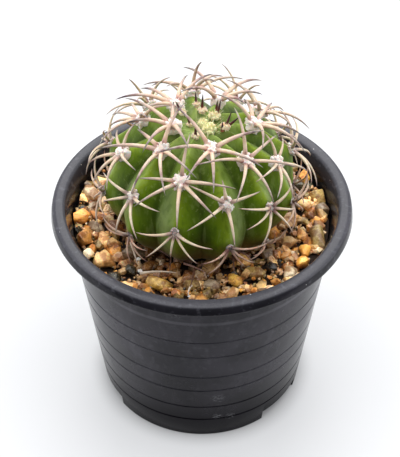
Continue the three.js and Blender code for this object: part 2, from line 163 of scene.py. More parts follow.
def tinted(tree, colour, tint):
    """A colour darkened by a tint, as a stain does"""
    return mix_colours(tree, 1.0, colour, tint, "MULTIPLY")


def ramp(tree, value, stops):
    """A colour ramp with the given (position, colour) stops"""
    node = add_node(tree, "ShaderNodeValToRGB", {"Fac": value})
    band = node.color_ramp
    while len(band.elements) < len(stops):
        band.elements.new(0.5)
    for element, (position, colour) in zip(band.elements, stops):
        element.position = position
        element.color = colour
    return node.outputs["Color"]


def scaled(tree, value, low, high, to_low=0.0, to_high=1.0):
    """Maps a value softly from one range to another and keeps it inside"""
    node = add_node(tree, "ShaderNodeMapRange", {
        "Value": value, "From Min": low, "From Max": high, "To Min": to_low, "To Max": to_high,
    }, interpolation_type="SMOOTHSTEP")
    return node.outputs["Result"]


def maths(tree, operation, first, second=0.0):
    """One step of arithmetic on numbers or sockets"""
    return add_node(tree, "ShaderNodeMath", {0: first, 1: second}, operation=operation).outputs[0]


def times(tree, first, second):
    """The product of two numbers or sockets"""
    return maths(tree, "MULTIPLY", first, second)


def plus(tree, first, second):
    """The sum of two numbers or sockets"""
    return maths(tree, "ADD", first, second)


def object_place(tree):
    """The point that is shaded, in the piece's own coordinates, in metres"""
    return add_node(tree, "ShaderNodeTexCoord").outputs["Object"]


def axis_value(tree, vector, axis="Z"):
    """One number of a vector"""
    return add_node(tree, "ShaderNodeSeparateXYZ", {"Vector": vector}).outputs[axis]


def surface_normal(tree):
    """The direction that the surface faces"""
    return add_node(tree, "ShaderNodeNewGeometry").outputs["Normal"]


def pattern(tree, place, scale, detail, height_scale=1.0, roughness=0.5):
    """A cloudy pattern, drawn out in height where the height's scale is under 1"""
    if height_scale != 1.0:
        inputs = {"Vector": place, "Scale": (1.0, 1.0, height_scale)}
        place = add_node(tree, "ShaderNodeMapping", inputs).outputs["Vector"]
    inputs = {"Vector": place, "Scale": scale, "Detail": detail, "Roughness": roughness}
    return add_node(tree, "ShaderNodeTexNoise", inputs).outputs["Fac"]


def read_value(tree, name, output="Fac"):
    """Reads a value that make_piece stored on the vertices"""
    return add_node(tree, "ShaderNodeAttribute", attribute_name=name).outputs[output]


def new_material(name, constants):
    """A material with one Principled shader whose constant inputs are given by name"""
    material = bpy.data.materials.new(name)
    material.use_nodes = True
    shader = material.node_tree.nodes["Principled BSDF"]
    for key, value in constants.items():
        shader.inputs[key].default_value = value
    return material, material.node_tree, shader


def finish_material(tree, shader, colour, relief, distance, strength, roughness=None):
    """Links the colour, the roughness and a fine relief of up to `distance` metres"""
    tree.links.new(colour, shader.inputs["Base Color"])
    if roughness is not None:
        tree.links.new(roughness, shader.inputs["Roughness"])
    bump = add_node(tree, "ShaderNodeBump", {"Height": relief, "Distance": distance, "Strength": strength})
    tree.links.new(bump.outputs["Normal"], shader.inputs["Normal"])


def new_group(name, inputs, outputs):
    """A shader node group with named number inputs and named outputs"""
    tree = bpy.data.node_groups.new(name, "ShaderNodeTree")
    for label, default in inputs:
        socket = tree.interface.new_socket(label, in_out="INPUT", socket_type="NodeSocketFloat")
        socket.default_value = default
    for label in outputs:
        tree.interface.new_socket(label, in_out="OUTPUT", socket_type="NodeSocketFloat")
    return tree, tree.nodes.new("NodeGroupInput").outputs, tree.nodes.new("NodeGroupOutput").inputs


def use_group(tree, group, **inputs):
    """Places a group in a material with its own values"""
    node = tree.nodes.new("ShaderNodeGroup")
    node.node_tree = group
    for name, value in inputs.items():
        node.inputs[name].default_value = value
    return node.outputs


print("Material helpers ready")

# %% [markdown]
# Two effects that several materials share
#
# Mottling is a slow drift of tone with a finer one on top, as skin, stone and moulded plastic all have.
# Settled dust is a mask that is strong where the surface faces up: a thin film that thickens in specks.
# Each is a node group with numbers for its scale and amount, so that one drawing of the effect serves every
# material.

# %% Mottling and settled dust
FINER = 7.0

mottling, given, result = new_group("mottling", [("Scale", 300.0), ("Detail", 4.0)], ["Slow", "Fine"])
place = object_place(mottling)
mottling.links.new(pattern(mottling, place, given["Scale"], given["Detail"]), result["Slow"])
mottling.links.new(pattern(mottling, place, times(mottling, given["Scale"], FINER), 3.0), result["Fine"])

settled_dust, given, result = new_group("settled_dust", [("Scale", 900.0), ("Amount", 0.5)], ["Mask"])
specks = pattern(settled_dust, object_place(settled_dust), given["Scale"], 6.0, roughness=0.65)
speck_mask = scaled(settled_dust, specks, 0.38, 0.7, 0.7, 1.0)
upward = scaled(settled_dust, axis_value(settled_dust, surface_normal(settled_dust)), 0.1, 0.95)
dust = times(settled_dust, times(settled_dust, upward, speck_mask), given["Amount"])
settled_dust.links.new(dust, result["Mask"])
print("Groups:", mottling.name, settled_dust.name)

# %% [markdown]
# The camera, the floor and the light
#
# The picture was taken from in front and above, at about 43 degrees, with a long lens. The camera stands
# 450 mm from a point inside the pot, near its top. The pot stands on a white sheet that ends just in front
# of it, and the darker table beyond keeps the front of the pot black. The sheet glows a little, which is
# painted light that keeps the shadow on it pale, and the glow fades out round the foot, which paints a soft
# shadow there. The light is that of a white tent: the world glows brightest at both sides and least in
# front, where the tent is open, and four large lamps look at the plant from above, behind and both sides.

# %% Camera, floor and light
VIEW_ELEVATION = math.radians(43.18)
VIEW_DISTANCE = 450 * MM
VIEW_TARGET = Vector((-0.69, 0.18, 72.9)) * MM
IMAGE_HEIGHT = 457
FOCAL_PIXELS = 1207.4
SENSOR = 36.0

FLOOR_SIZE = 6.0
SHEET_EDGE = (-0.15, -0.12)
SHEET_PAPER = (0.46, 0.463, 0.472, 1)
SHEET_GLOW = (0.36, 0.364, 0.372, 1)
TABLE_BEYOND = (0.12, 0.12, 0.12, 1)
FOOT_SHADE = (0.034, 0.047)

TENT_COLOUR = (0.97, 0.985, 1.0, 1)
TENT_SIDES = 1.05
TENT_BACK = 0.65
TENT_FRONT = 0.22
# Each lamp: name, place in metres, width in metres, power in watts
LAMPS = [
    ("top_lamp", (0.0, 0.05, 1.15), 1.3, 12.5),
    ("back_lamp", (0.0, 1.0, 1.0), 0.8, 7.0),
    ("left_lamp", (-1.1, -0.1, 0.35), 0.6, 2.2),
    ("right_lamp", (1.1, -0.1, 0.35), 0.6, 2.2),
]

camera_data = bpy.data.cameras.new("camera")
camera_data.sensor_fit = "VERTICAL"
camera_data.sensor_height = SENSOR
camera_data.lens = FOCAL_PIXELS / IMAGE_HEIGHT * SENSOR
camera = bpy.data.objects.new("camera", camera_data)
view_line = Vector((0, -math.cos(VIEW_ELEVATION), math.sin(VIEW_ELEVATION)))
camera.location = VIEW_TARGET + VIEW_DISTANCE * view_line
camera.rotation_euler = (math.pi / 2 - VIEW_ELEVATION, 0, 0)
bpy.context.scene.collection.objects.link(camera)
bpy.context.scene.camera = camera
bpy.context.scene.view_settings.view_transform = "Standard"
print("Camera at", [round(value, 3) for value in camera.location], "lens", round(camera_data.lens, 1))

floor_paint, tree, shader = new_material("floor_paint", {
    "Roughness": 0.6, "Specular IOR Level": 0.2, "Emission Strength": 1.0,
})
place = object_place(tree)
sheet = scaled(tree, axis_value(tree, place, "Y"), *SHEET_EDGE)
tree.links.new(mix_colours(tree, sheet, TABLE_BEYOND, SHEET_PAPER), shader.inputs["Base Color"])
off_pot = add_node(tree, "ShaderNodeVectorMath", {0: place}, operation="LENGTH").outputs["Value"]
# Painted shadow: the sheet's glow fades out round the foot
glow = times(tree, sheet, scaled(tree, off_pot, *FOOT_SHADE))
tree.links.new(mix_colours(tree, glow, (0, 0, 0, 1), SHEET_GLOW), shader.inputs["Emission Color"])

floor_bm = bmesh.new()
bmesh.ops.create_grid(floor_bm, x_segments=2, y_segments=2, size=FLOOR_SIZE / 2)
floor_mesh = bpy.data.meshes.new("floor")
floor_bm.to_mesh(floor_mesh)
floor_bm.free()
floor_mesh.materials.append(floor_paint)
floor = bpy.data.objects.new("floor", floor_mesh)
bpy.context.scene.collection.objects.link(floor)

world = bpy.data.worlds.new("white_tent")
world.use_nodes = True
tent = world.node_tree
background = tent.nodes["Background"]
background.inputs["Color"].default_value = TENT_COLOUR
direction = add_node(tent, "ShaderNodeTexCoord").outputs["Generated"]
sideways = maths(tent, "ABSOLUTE", axis_value(tent, direction, "X"))
side_glow = scaled(tent, sideways, 0.35, 0.9, TENT_BACK, TENT_SIDES)
in_front = scaled(tent, axis_value(tent, direction, "Y"), -0.15, -0.75)
glow = times(tent, side_glow, scaled(tent, in_front, 0.0, 1.0, 1.0, TENT_FRONT / TENT_BACK))
tent.links.new(glow, background.inputs["Strength"])
bpy.context.scene.world = world

for name, location, size, power in LAMPS:
    data = bpy.data.lights.new(name, "AREA")
    data.size = size
    data.energy = power
    lamp = bpy.data.objects.new(name, data)
    lamp.location = location
    lamp.rotation_euler = (VIEW_TARGET - Vector(location)).to_track_quat("-Z", "Y").to_euler()
    bpy.context.scene.collection.objects.link(lamp)
print("Floor, tent and", len(LAMPS), "lamps ready")

# %% [markdown]
# The shape of the globe
#
# The body is a flattened globe whose crown leans a little to the front and dips in the middle. Twelve ribs
# stand at uneven headings, and the surface falls away from each crest to the furrow beside it. The
# functions below give any point of that surface, for one place or for thousands at once, and everything
# that grows on the plant uses them.

# %% Globe functions
GLOBE_RADIUS = 33.9
GLOBE_HALF_HEIGHT = 26.2
GLOBE_CENTRE = np.array([-0.8, -0.8, 98.9])
CROWN_LEAN = (-0.4, -2.0)
CROWN_DIP = 3.2
CROWN_DIP_RADIUS = 10
FURROW_FADE = (0.06, 0.34)
FLANK_DEPTH = 3.1
LOW_FADE_LATITUDES = (-45, -8)
LOW_FADE = 0.35
RIB_HEADINGS = np.array([-165, -135, -104, -73, -45, -22, 7, 35, 64, 96, 128, 163])
RIB_COUNT = len(RIB_HEADINGS)


def crest_normal(heading, latitude):
    """Outward direction of the smooth globe, for angles in radians"""
    normal = np.stack([
        np.cos(latitude) * np.cos(heading) / GLOBE_RADIUS,
        np.cos(latitude) * np.sin(heading) / GLOBE_RADIUS,
        np.sin(latitude) / GLOBE_HALF_HEIGHT + 0 * heading,
    ], axis=-1)
    return normal / np.linalg.norm(normal, axis=-1, keepdims=True)


def crest_point(heading, latitude, lift=0.0):
    """A point of the smooth globe over the crests, raised by `lift` millimetres"""
    lean = np.maximum(0, np.sin(latitude)) ** 2
    point = np.stack([
        GLOBE_RADIUS * np.cos(latitude) * np.cos(heading) + CROWN_LEAN[0] * lean,
        GLOBE_RADIUS * np.cos(latitude) * np.sin(heading) + CROWN_LEAN[1] * lean,
        GLOBE_HALF_HEIGHT * np.sin(latitude) + 0 * heading,
    ], axis=-1)
    return GLOBE_CENTRE + point + np.asarray(lift)[..., None] * crest_normal(heading, latitude)


def smooth_step(value, low, high):
    """0 below low, 1 above high, and a soft change between"""
    part = np.clip((value - low) / (high - low), 0, 1)
    return part * part * (3 - 2 * part)


def rib_place(turn):
    """Rib number, heading and place across the rib (-1 to 1) for a turn counted in ribs"""
    rib = np.floor(turn + 0.5).astype(int)
    across = 2 * (turn - rib)
    here = RIB_HEADINGS[rib % RIB_COUNT]
    side = np.where(across < 0, -1, 1)
    beside = RIB_HEADINGS[(rib + side) % RIB_COUNT]
    width = (side * (beside - here)) % 360
    return rib % RIB_COUNT, np.radians(here + across * width / 2), across


print("Widest point of the globe:", crest_point(0.0, 0.0).round(1))

# %% [markdown]
# Where the pads sit
#
# Areoles, the woolly pads, follow a spiral: one every 36 degrees up a rib, and each rib starts 15 degrees
# lower than the rib before. Writing the rule down places all of them, round the back as well, and keeps
# them on the crests.

# %% Areoles
FIRST_LATITUDE = 39
RIB_DROP = 15
AREOLE_STEP = 36
LOWEST_LATITUDE = -22
HIGHEST_LATITUDE = 86
OLD_BELOW_LATITUDE = 76
YOUNG_AREOLES = ("06_3", "08_3")


def find_areoles():
    """All areoles as dictionaries of name, rib, heading and latitude"""
    found = []
    for rib, heading in enumerate(RIB_HEADINGS):
        lowest = (FIRST_LATITUDE - RIB_DROP * rib - LOWEST_LATITUDE) % AREOLE_STEP + LOWEST_LATITUDE
        for row, latitude in enumerate(range(lowest, HIGHEST_LATITUDE, AREOLE_STEP), start=1):
            name = f"{rib + 1:02d}_{row}"
            found.append({
                "name": name,
                "rib": rib,
                "degrees": latitude,
                "heading": math.radians(heading),
                "latitude": math.radians(latitude),
                "young": latitude > OLD_BELOW_LATITUDE or name in YOUNG_AREOLES,
            })
    return found


areoles = find_areoles()
grown = [areole for areole in areoles if not areole["young"]]
print(len(areoles), "areoles,", len(grown), "of them with full spines")

# %% [markdown]
# The skin of the cactus
#
# The skin is waxy, and at the soil it has turned to brown cork. Its green runs from light on the crests to
# a deep clear green towards the furrows, and the dark end is painted shade in the furrows. A pale painted
# sheen lies on the flank of each rib that looks away from the front, as light from the side gives, and
# painted shade darkens the skin close round each areole, under the wool. Image textures would need
# unwrapping, so the body stores four numbers on its vertices instead (how near the crest, how young, how
# near an areole, how much painted side sheen) and the shader mixes its greens from them. Dark and pale
# streaks and specks that run up the ribs break the colour up.

# %% Cactus skin
skin, tree, shader = new_material("cactus_skin", {
    "IOR": 1.48, "Specular IOR Level": 0.24,
    "Subsurface Weight": 0.1, "Subsurface Radius": (0.6, 1.0, 0.15), "Subsurface Scale": 0.0012,
    "Sheen Weight": 0.14, "Sheen Roughness": 0.3, "Sheen Tint": (0.93, 1.0, 0.6, 1),
})
patches = use_group(tree, mottling, Scale=110.0, Detail=4.0)
place = object_place(tree)
streaks = pattern(tree, place, 480.0, 6.0, 0.25)
drift = plus(tree, times(tree, patches["Slow"], 0.55), times(tree, streaks, 0.45))
to_crest = plus(tree, times(tree, read_value(tree, "crest"), 0.72), maths(tree, "SUBTRACT", drift, 0.16))
# Painted shade: the ramp darkens the green towards the furrows and lightens it on the crests
flank = ramp(tree, to_crest, [
    (0.2, srgb(40, 56, 0)), (0.5, srgb(74, 99, 0)), (0.8, srgb(100, 128, 2)), (1.0, srgb(126, 150, 28)),
])
young_green = mix_colours(tree, patches["Slow"], srgb(110, 142, 58), srgb(182, 198, 122))
green = mix_colours(tree, read_value(tree, "youth"), flank, young_green)
# Painted light: a pale side sheen on the flank of each rib that looks away from the front
side_sheen_mask = times(tree, read_value(tree, "painted_side_sheen"), scaled(tree, drift, 0.35, 0.65, 0.3, 0.52))
green = mix_colours(tree, side_sheen_mask, green, srgb(150, 164, 112))
dark_streaks = scaled(tree, streaks, 0.5, 0.64, 0.0, 0.5)
green = mix_colours(tree, dark_streaks, green, tinted(tree, green, srgb(160, 176, 110)))
pale_streaks = scaled(tree, streaks, 0.49, 0.37, 0.0, 0.3)
green = mix_colours(tree, pale_streaks, green, srgb(140, 160, 84))
pale_specks = scaled(tree, patches["Fine"], 0.62, 0.72, 0.0, 0.22)
green = mix_colours(tree, pale_specks, green, srgb(160, 172, 110))
ragged_height = plus(tree, axis_value(tree, place), times(tree, patches["Slow"], 0.006))
corky = scaled(tree, ragged_height, 0.1005, 0.0885)
cork = mix_colours(tree, patches["Fine"], srgb(60, 52, 6), srgb(104, 84, 30))
green = mix_colours(tree, corky, green, cork)
# Painted shade: the skin is darker close round each areole, under the wool
green = mix_colours(tree, times(tree, read_value(tree, "areole_shade"), 0.45), green, srgb(58, 62, 28))
rough = scaled(tree, patches["Fine"], 0.3, 0.7, 0.42, 0.58)
finish_material(tree, shader, green, patches["Fine"], 0.00012, 0.6, rough)
print("Skin:", skin.name)

# %% [markdown]
# The ribbed body
#
# A body of revolution is quickest with spin: one half outline turned about the axis. The outline is spun on
# a plain ball first, where a vertex's height gives its latitude and its bearing gives its rib. Then every
# vertex moves to the formula's surface, with a swelling under each areole, a fine crease down each furrow
# and a waist between swellings. Below the ball hang a few rings that become the root neck.

# %% Cactus body
BODY_STEPS = 396
BODY_ROWS = 150
ROOT_TOP_LATITUDE = -64
ROOT_STEPS = [(7.5, 70), (4.6, 62), (2.2, 52), (0, 46)]
ROOT_RING_HEIGHTS = (-1.2, -2.0)
BELOW_BALL = -1.1
CROWN_FADE = (0.1, 0.35)
SWELLING = 0.9
SWELLING_ACROSS = 0.55
SWELLING_ALONG = 9.0
WAIST = 0.3
WAIST_ACROSS = 0.7
WAIST_ALONG = 7.0
HALF_RIB = 0.26
AREOLE_SHADE_REACH = (1.5, 4.0)
CREST_ROUNDING = 0.14
CREASE_DEPTH = 0.3
CREASE_WIDTH = 0.06
CREST_LIGHT = 1.2
CREST_LIGHT_FADE = (0.0, 0.3)
YOUNG_LATITUDES = (50, 88)
SIDE_SHEEN_LATITUDES = (10, 60)
SIDE_SHEEN_LEAST = 0.35
SIDE_SHEEN_START = (-0.02, 0.1)
SIDE_SHEEN_END = (0.5, 0.95)


def furrow_drop(latitude, across):
    """How far the skin lies under the crests: flat flanks, a rounded crest and a crease in the furrow"""
    fade = smooth_step(np.cos(latitude), *FURROW_FADE)
    flank = np.hypot(across, CREST_ROUNDING) - CREST_ROUNDING
    whole = math.hypot(1, CREST_ROUNDING) - CREST_ROUNDING
    crease = CREASE_DEPTH * np.exp(-((1 - np.abs(across)) / CREASE_WIDTH) ** 2)
    low = LOW_FADE + (1 - LOW_FADE) * smooth_step(np.degrees(latitude), *LOW_FADE_LATITUDES)
    return low * fade * (FLANK_DEPTH * flank / whole + crease)


def crown_drop(latitude):
    """The dip of the crown"""
    reach = GLOBE_RADIUS * np.cos(latitude) / CROWN_DIP_RADIUS
    return np.where((latitude > 0) & (reach < 1), CROWN_DIP * (1 - reach ** 2) ** 2, 0)


def swellings(rib, latitude, across):
    """Height of the swellings on each rib, and nearness to the closest areole"""
    lift = np.zeros_like(latitude)
    near = np.zeros_like(latitude)
    degrees = np.degrees(latitude)
    fade = smooth_step(np.cos(latitude), *CROWN_FADE)
    for areole in areoles:
        on_rib = rib == areole["rib"]
        along = degrees - areole["degrees"]
        bump = np.exp(-(across / SWELLING_ACROSS) ** 2 - (along / SWELLING_ALONG) ** 2)
        waist = np.exp(-(across / WAIST_ACROSS) ** 2 - ((along - AREOLE_STEP / 2) / WAIST_ALONG) ** 2)
        lift += np.where(on_rib, fade * (SWELLING * bump - WAIST * waist), 0)
        sideways = across * HALF_RIB * GLOBE_RADIUS * np.cos(latitude)
        reach = np.hypot(sideways, np.radians(along) * GLOBE_RADIUS)
        near = np.maximum(near, np.where(on_rib, 1 - smooth_step(reach, *AREOLE_SHADE_REACH), 0))
    return lift, near


def body_mesh():
    """The body and the numbers that its skin reads"""
    latitudes = np.radians(np.linspace(90, ROOT_TOP_LATITUDE, BODY_ROWS))
    ball = [(math.cos(angle), math.sin(angle)) for angle in latitudes]
    ball[0] = (0.0, 1.0)
    ring_heights = np.linspace(*ROOT_RING_HEIGHTS, len(ROOT_STEPS))
    root = [(radius / GLOBE_RADIUS, ring) for (radius, _), ring in zip(ROOT_STEPS, ring_heights)]
    bm = spin_profile([(radius / MM, height / MM) for radius, height in ball + root], BODY_STEPS)
    places = np.array([vert.co for vert in bm.verts])
    turn = (np.arctan2(places[:, 1], places[:, 0]) / (2 * math.pi)) % 1 * RIB_COUNT
    rib, heading, across = rib_place(turn)
    latitude = np.arcsin(np.clip(places[:, 2], math.sin(math.radians(ROOT_TOP_LATITUDE)), 1))
    degrees = np.degrees(latitude)
    lift, near = swellings(rib, latitude, across)
    points = crest_point(heading, latitude, lift - furrow_drop(latitude, across) - crown_drop(latitude))
    for vert, place, point, angle in zip(bm.verts, places, points, heading):
        if place[2] < BELOW_BALL:
            radius, height = ROOT_STEPS[int(np.argmin(np.abs(ring_heights - place[2])))]
            x = GLOBE_CENTRE[0] + radius * math.cos(angle)
            y = GLOBE_CENTRE[1] + radius * math.sin(angle)
            point = (x, y, height)
        vert.co = Vector(point) * MM
    # Painted side sheen: a band on the flank of each rib that looks away from the front, weaker high up
    outer_side = across * np.where(np.cos(np.radians(RIB_HEADINGS[rib])) > 0, 1, -1)
    band = smooth_step(outer_side, *SIDE_SHEEN_START) * (1 - smooth_step(outer_side, *SIDE_SHEEN_END))
    less_high = SIDE_SHEEN_LEAST + (1 - SIDE_SHEEN_LEAST) * (1 - smooth_step(degrees, *SIDE_SHEEN_LATITUDES))
    return bm, {
        "crest": (1 - np.abs(across)) ** CREST_LIGHT * smooth_step(np.cos(latitude), *CREST_LIGHT_FADE),
        "youth": smooth_step(degrees, *YOUNG_LATITUDES),
        "areole_shade": near,
        "painted_side_sheen": band * less_high,
    }


body_bm, body_values = body_mesh()
make_piece("cactus_body", body_bm, skin, ["cactus_body"], 80, body_values)

# %% [markdown]
# Horn for the spines
#
# A spine is dry horn: reddish brown where it leaves the wool, cream along its length, and grey-brown to
# black at the point. The upper spines are rosier and darker towards the tip, and the lowest are painted
# darker and pinker as shade. Their undersides are painted darker too, as shade. The colour follows two
# stored numbers: how far along the spine a vertex is, and how high on the plant its star stands.

# %% Spine material
horn, tree, shader = new_material("spine_horn", {
    "IOR": 1.5, "Subsurface Weight": 0.1, "Subsurface Scale": 0.0006,
})
grain = use_group(tree, mottling, Scale=420.0, Detail=3.0)
along = read_value(tree, "along")
level = read_value(tree, "level")
lower = ramp(tree, along, [
    (0.0, srgb(96, 62, 62)), (0.1, srgb(164, 128, 116)), (0.22, srgb(222, 200, 170)),
    (0.6, srgb(222, 200, 170)), (0.85, srgb(186, 158, 146)), (1.0, srgb(116, 92, 92)),
])
upper = ramp(tree, along, [
    (0.0, srgb(140, 92, 84)), (0.08, srgb(204, 158, 142)), (0.2, srgb(232, 202, 172)),
    (0.44, srgb(214, 178, 160)), (0.64, srgb(144, 108, 108)), (0.82, srgb(78, 58, 70)),
    (1.0, srgb(40, 32, 42)),
])
colour = mix_colours(tree, level, lower, upper)
# Painted shade: the lowest spines are darker and pinker
shaded_low = tinted(tree, colour, srgb(212, 176, 172))
colour = mix_colours(tree, scaled(tree, level, 0.0, -1.0), colour, shaded_low)
# Painted shade: the undersides of the spines are darker and pinker
under = times(tree, scaled(tree, axis_value(tree, surface_normal(tree)), 0.3, -0.6), 0.6)
colour = mix_colours(tree, under, colour, tinted(tree, colour, srgb(176, 132, 136)))
bleached = times(tree, scaled(tree, grain["Slow"], 0.3, 0.7), 0.35)
colour = mix_colours(tree, bleached, colour, srgb(244, 236, 216))
colour = mix_colours(tree, scaled(tree, grain["Fine"], 0.55, 0.75, 0.0, 0.35), colour, srgb(134, 104, 98))
rough = scaled(tree, grain["Fine"], 0.3, 0.7, 0.36, 0.55)
finish_material(tree, shader, colour, grain["Fine"], 0.00006, 0.5, rough)
print("Horn:", horn.name)

# %% [markdown]
# How a star of spines grows
#
# Each spine leaves its pad at a rise and bends back towards the plant. The stars that the front shows are
# given one by one, as directions and lengths, and the others share a common star with a little chance in
# it. A spine that would touch a neighbour turns, lifts or shortens until it clears, so no two cross
# anywhere on the globe.

# %% Star rule
SPINE_SEED = 907
SPINE_ROOT_LIFT = 0.6
SPINE_STEPS = 3
SPINE_RISE = 30
SPINE_RISE_PER_LATITUDE = 0.12
SPINE_BEND = 42
CENTRAL_RISE = 62
CENTRAL_ABOVE_LATITUDE = 25
CENTRAL_CLOCK_SPAN = 120
BASE_LENGTH = 13.5
LENGTH_PER_LATITUDE = 0.12
COMMON_STAR = (-140, -94, -30, 36, 92, 148)
CLOCK_SPREAD = 14
LENGTH_SPREAD = 0.24
RISE_SPREAD = 8
READ_STARS = {
    "01_2": [(-146, 15), (160, 15), (120, 17), (70, 19), (-80, 11), (-25, 13)],
    "01_3": [(-130, 22), (-165, 17), (130, 22), (84, 24), (-72, 11)],
    "02_1": [(-95, 13), (-65, 13), (150, 12), (175, 12), (80, 12)],
    "02_2": [(-82, 15), (-127, 13), (80, 16), (135, 16), (175, 15), (0, 8)],
    "02_3": [(-132, 24), (-82, 13), (-6, 19), (96, 24), (127, 24), (160, 23)],
    "03_1": [(-89, 14), (-138, 15), (-175, 10), (137, 14), (100, 15)],
    "03_2": [(-97, 15), (-10, 18), (90, 21), (126, 20), (171, 18), (-131, 19)],
    "04_1": [(-110, 12), (84, 15), (-152, 14), (169, 13), (134, 14)],
    "04_2": [(-70, 17), (0, 9), (82, 13), (-177, 16), (-109, 18)],
    "04_3": [(-95, 24), (-120, 19), (136, 21), (89, 20), (-163, 22), (-26, 21)],
    "05_2": [(-58, 20), (71, 12), (121, 12), (159, 15), (-134, 14), (-90, 15)],
    "05_3": [(25, 20), (-85, 24), (-119, 21), (-165, 19), (88, 16), (137, 19)],
    "06_2": [(72, 11), (145, 14), (-147, 16), (-104, 18), (-71, 22), (20, 12)],
    "07_3": [(-167, 18), (-108, 23), (-78, 23), (17, 19), (74, 12), (126, 16)],
    "08_2": [(44, 18), (-145, 21), (172, 17), (90, 15), (-95, 16), (-20, 15)],
    "09_3": [(18, 24), (-136, 17), (-157, 23), (115, 23), (-85, 16)],
    "11_3": [(-88, 20), (115, 23), (88, 13), (-140, 18), (165, 18)],
    "12_3": [(164, 13), (-160, 15), (-130, 13), (7, 17), (92, 22), (68, 20)],
}
RISE_TRIES = (0, 7, 14, 21, 28)
TURN_TRIES = (0, 6, -6, 12, -12, 18, -18, 24, -24)
SHORTEN = 0.85
SHORTEN_TIMES = 3
STAR_GAP = 1.6
PAD_CLEARANCE = 3.3
PLANT_CLEARANCE = 1.1
GRAVEL_CEILING = 83.6


def areole_axes(areole):
    """The areole's foot and its directions outward, up the rib and to the right"""
    heading, latitude = areole["heading"], areole["latitude"]
    outward = crest_normal(heading, latitude)
    up = crest_point(heading, latitude + 0.01) - crest_point(heading, latitude - 0.01)
    up -= outward * np.dot(up, outward)
    up /= np.linalg.norm(up)
    foot = crest_point(heading, latitude)
    return {"foot": foot, "outward": outward, "up": up, "right": np.cross(up, outward)}


def spine_line(axes, clock, rise, length, steps=SPINE_STEPS, arch=0):
    """Points along a spine that starts at its rise and bends back; an arch lifts its middle"""
    along = axes["up"] * math.cos(math.radians(clock)) + axes["right"] * math.sin(math.radians(clock))
    points = [axes["foot"] + SPINE_ROOT_LIFT * axes["outward"]]
    for step in range(steps):
        slope = math.radians(rise + arch - (SPINE_BEND + 2 * arch) * (step + 0.5) / steps)
        stride = along * math.cos(slope) + axes["outward"] * math.sin(slope)
        points.append(points[-1] + stride * length / steps)
    return np.array(points)


def distances(points, starts, ends):
    """Distance from each point (rows) to each straight stretch (columns)"""
    along = ends - starts
    part = np.einsum("psk,sk->ps", points[:, None] - starts, along) / (along ** 2).sum(-1)
    nearest = starts + np.clip(part, 0, 1)[..., None] * along
    return np.linalg.norm(points[:, None] - nearest, axis=-1)


def samples(starts, ends):
    """Four points along each stretch"""
    parts = np.array([0.25, 0.5, 0.75, 1.0])[:, None, None]
    return (starts + parts * (ends - starts)).reshape(-1, 3)


def is_clear(line, pads, starts, ends):
    """Whether a spine stays off the globe, the gravel, the other pads and the spines before it"""
    away = line[1:] - GLOBE_CENTRE
    across = np.hypot(away[:, 0], away[:, 1]) / (GLOBE_RADIUS + PLANT_CLEARANCE)
    high = away[:, 2] / (GLOBE_HALF_HEIGHT + PLANT_CLEARANCE)
    if np.any(np.hypot(across, high) <= 1) or np.any(line[1:, 2] <= GRAVEL_CEILING + PLANT_CLEARANCE):
        return False
    if np.any(distances(pads, line[:-1], line[1:]) <= PAD_CLEARANCE):
        return False
    if len(starts) == 0:
        return True
    there = distances(samples(line[:-1], line[1:]), starts, ends).min()
    back = distances(samples(starts, ends), line[:-1], line[1:]).min()
    return min(there, back) > STAR_GAP


def fitted_spine(axes, wish, pads, starts, ends):
    """The wished spine, or the nearest one to it that is clear"""
    clock, length, rise = wish
    for cut in range(SHORTEN_TIMES + 1):
        for lift in RISE_TRIES:
            for turn in TURN_TRIES:
                found = (clock + turn, rise + lift, length * SHORTEN ** cut)
                if is_clear(spine_line(axes, *found), pads, starts, ends):
                    return found
    return None


def wished_star(areole, draw):
    """The directions, lengths and rises that an areole's spines would like"""
    rise = SPINE_RISE + SPINE_RISE_PER_LATITUDE * max(0, areole["degrees"])
    if areole["name"] in READ_STARS:
        return [(clock, length, rise) for clock, length in READ_STARS[areole["name"]]]
    usual = BASE_LENGTH + LENGTH_PER_LATITUDE * areole["degrees"]
    star = []
    for clock in COMMON_STAR:
        turned = clock + CLOCK_SPREAD * (next(draw) - 0.5)
        length = usual * (1 + LENGTH_SPREAD * (next(draw) - 0.5))
        star.append((turned, length, rise + RISE_SPREAD * (next(draw) - 0.5)))
    if areole["degrees"] > CENTRAL_ABOVE_LATITUDE:
        star.append((CENTRAL_CLOCK_SPAN * (next(draw) - 0.5), usual, CENTRAL_RISE))
    return star


def grow_stars():
    """All stars: for each grown areole its axes and the spines that fit"""
    draw = seeded(SPINE_SEED)
    feet = np.array([crest_point(a["heading"], a["latitude"], SPINE_ROOT_LIFT) for a in grown])
    starts = np.zeros((0, 3))
    ends = np.zeros((0, 3))
    stars = []
    for place, areole in enumerate(grown):
        axes = areole_axes(areole)
        pads = np.delete(feet, place, axis=0)
        fits = [fitted_spine(axes, wish, pads, starts, ends) for wish in wished_star(areole, draw)]
        fits = [fit for fit in fits if fit]
        lines = [spine_line(axes, *fit) for fit in fits]
        starts = np.vstack([starts] + [line[:-1] for line in lines])
        ends = np.vstack([ends] + [line[1:] for line in lines])
        stars.append({"areole": areole, "axes": axes, "spines": fits})
    return stars


stars = grow_stars()
print(len(stars), "stars with", sum(len(star["spines"]) for star in stars), "spines")

# %% [markdown]
# Modelling one spine
#
# A tapered tube could come from a curve with a bevel, but then its vertices carry no numbers for the
# colour. Here a circle is extruded ring by ring along the spine's line, and each new ring is moved by the
# difference between two frames: place, direction and thickness. Each spine starts on a ring round the
# middle of its pad, where its base is swollen like a little bulb, and the last ring closes in a point.

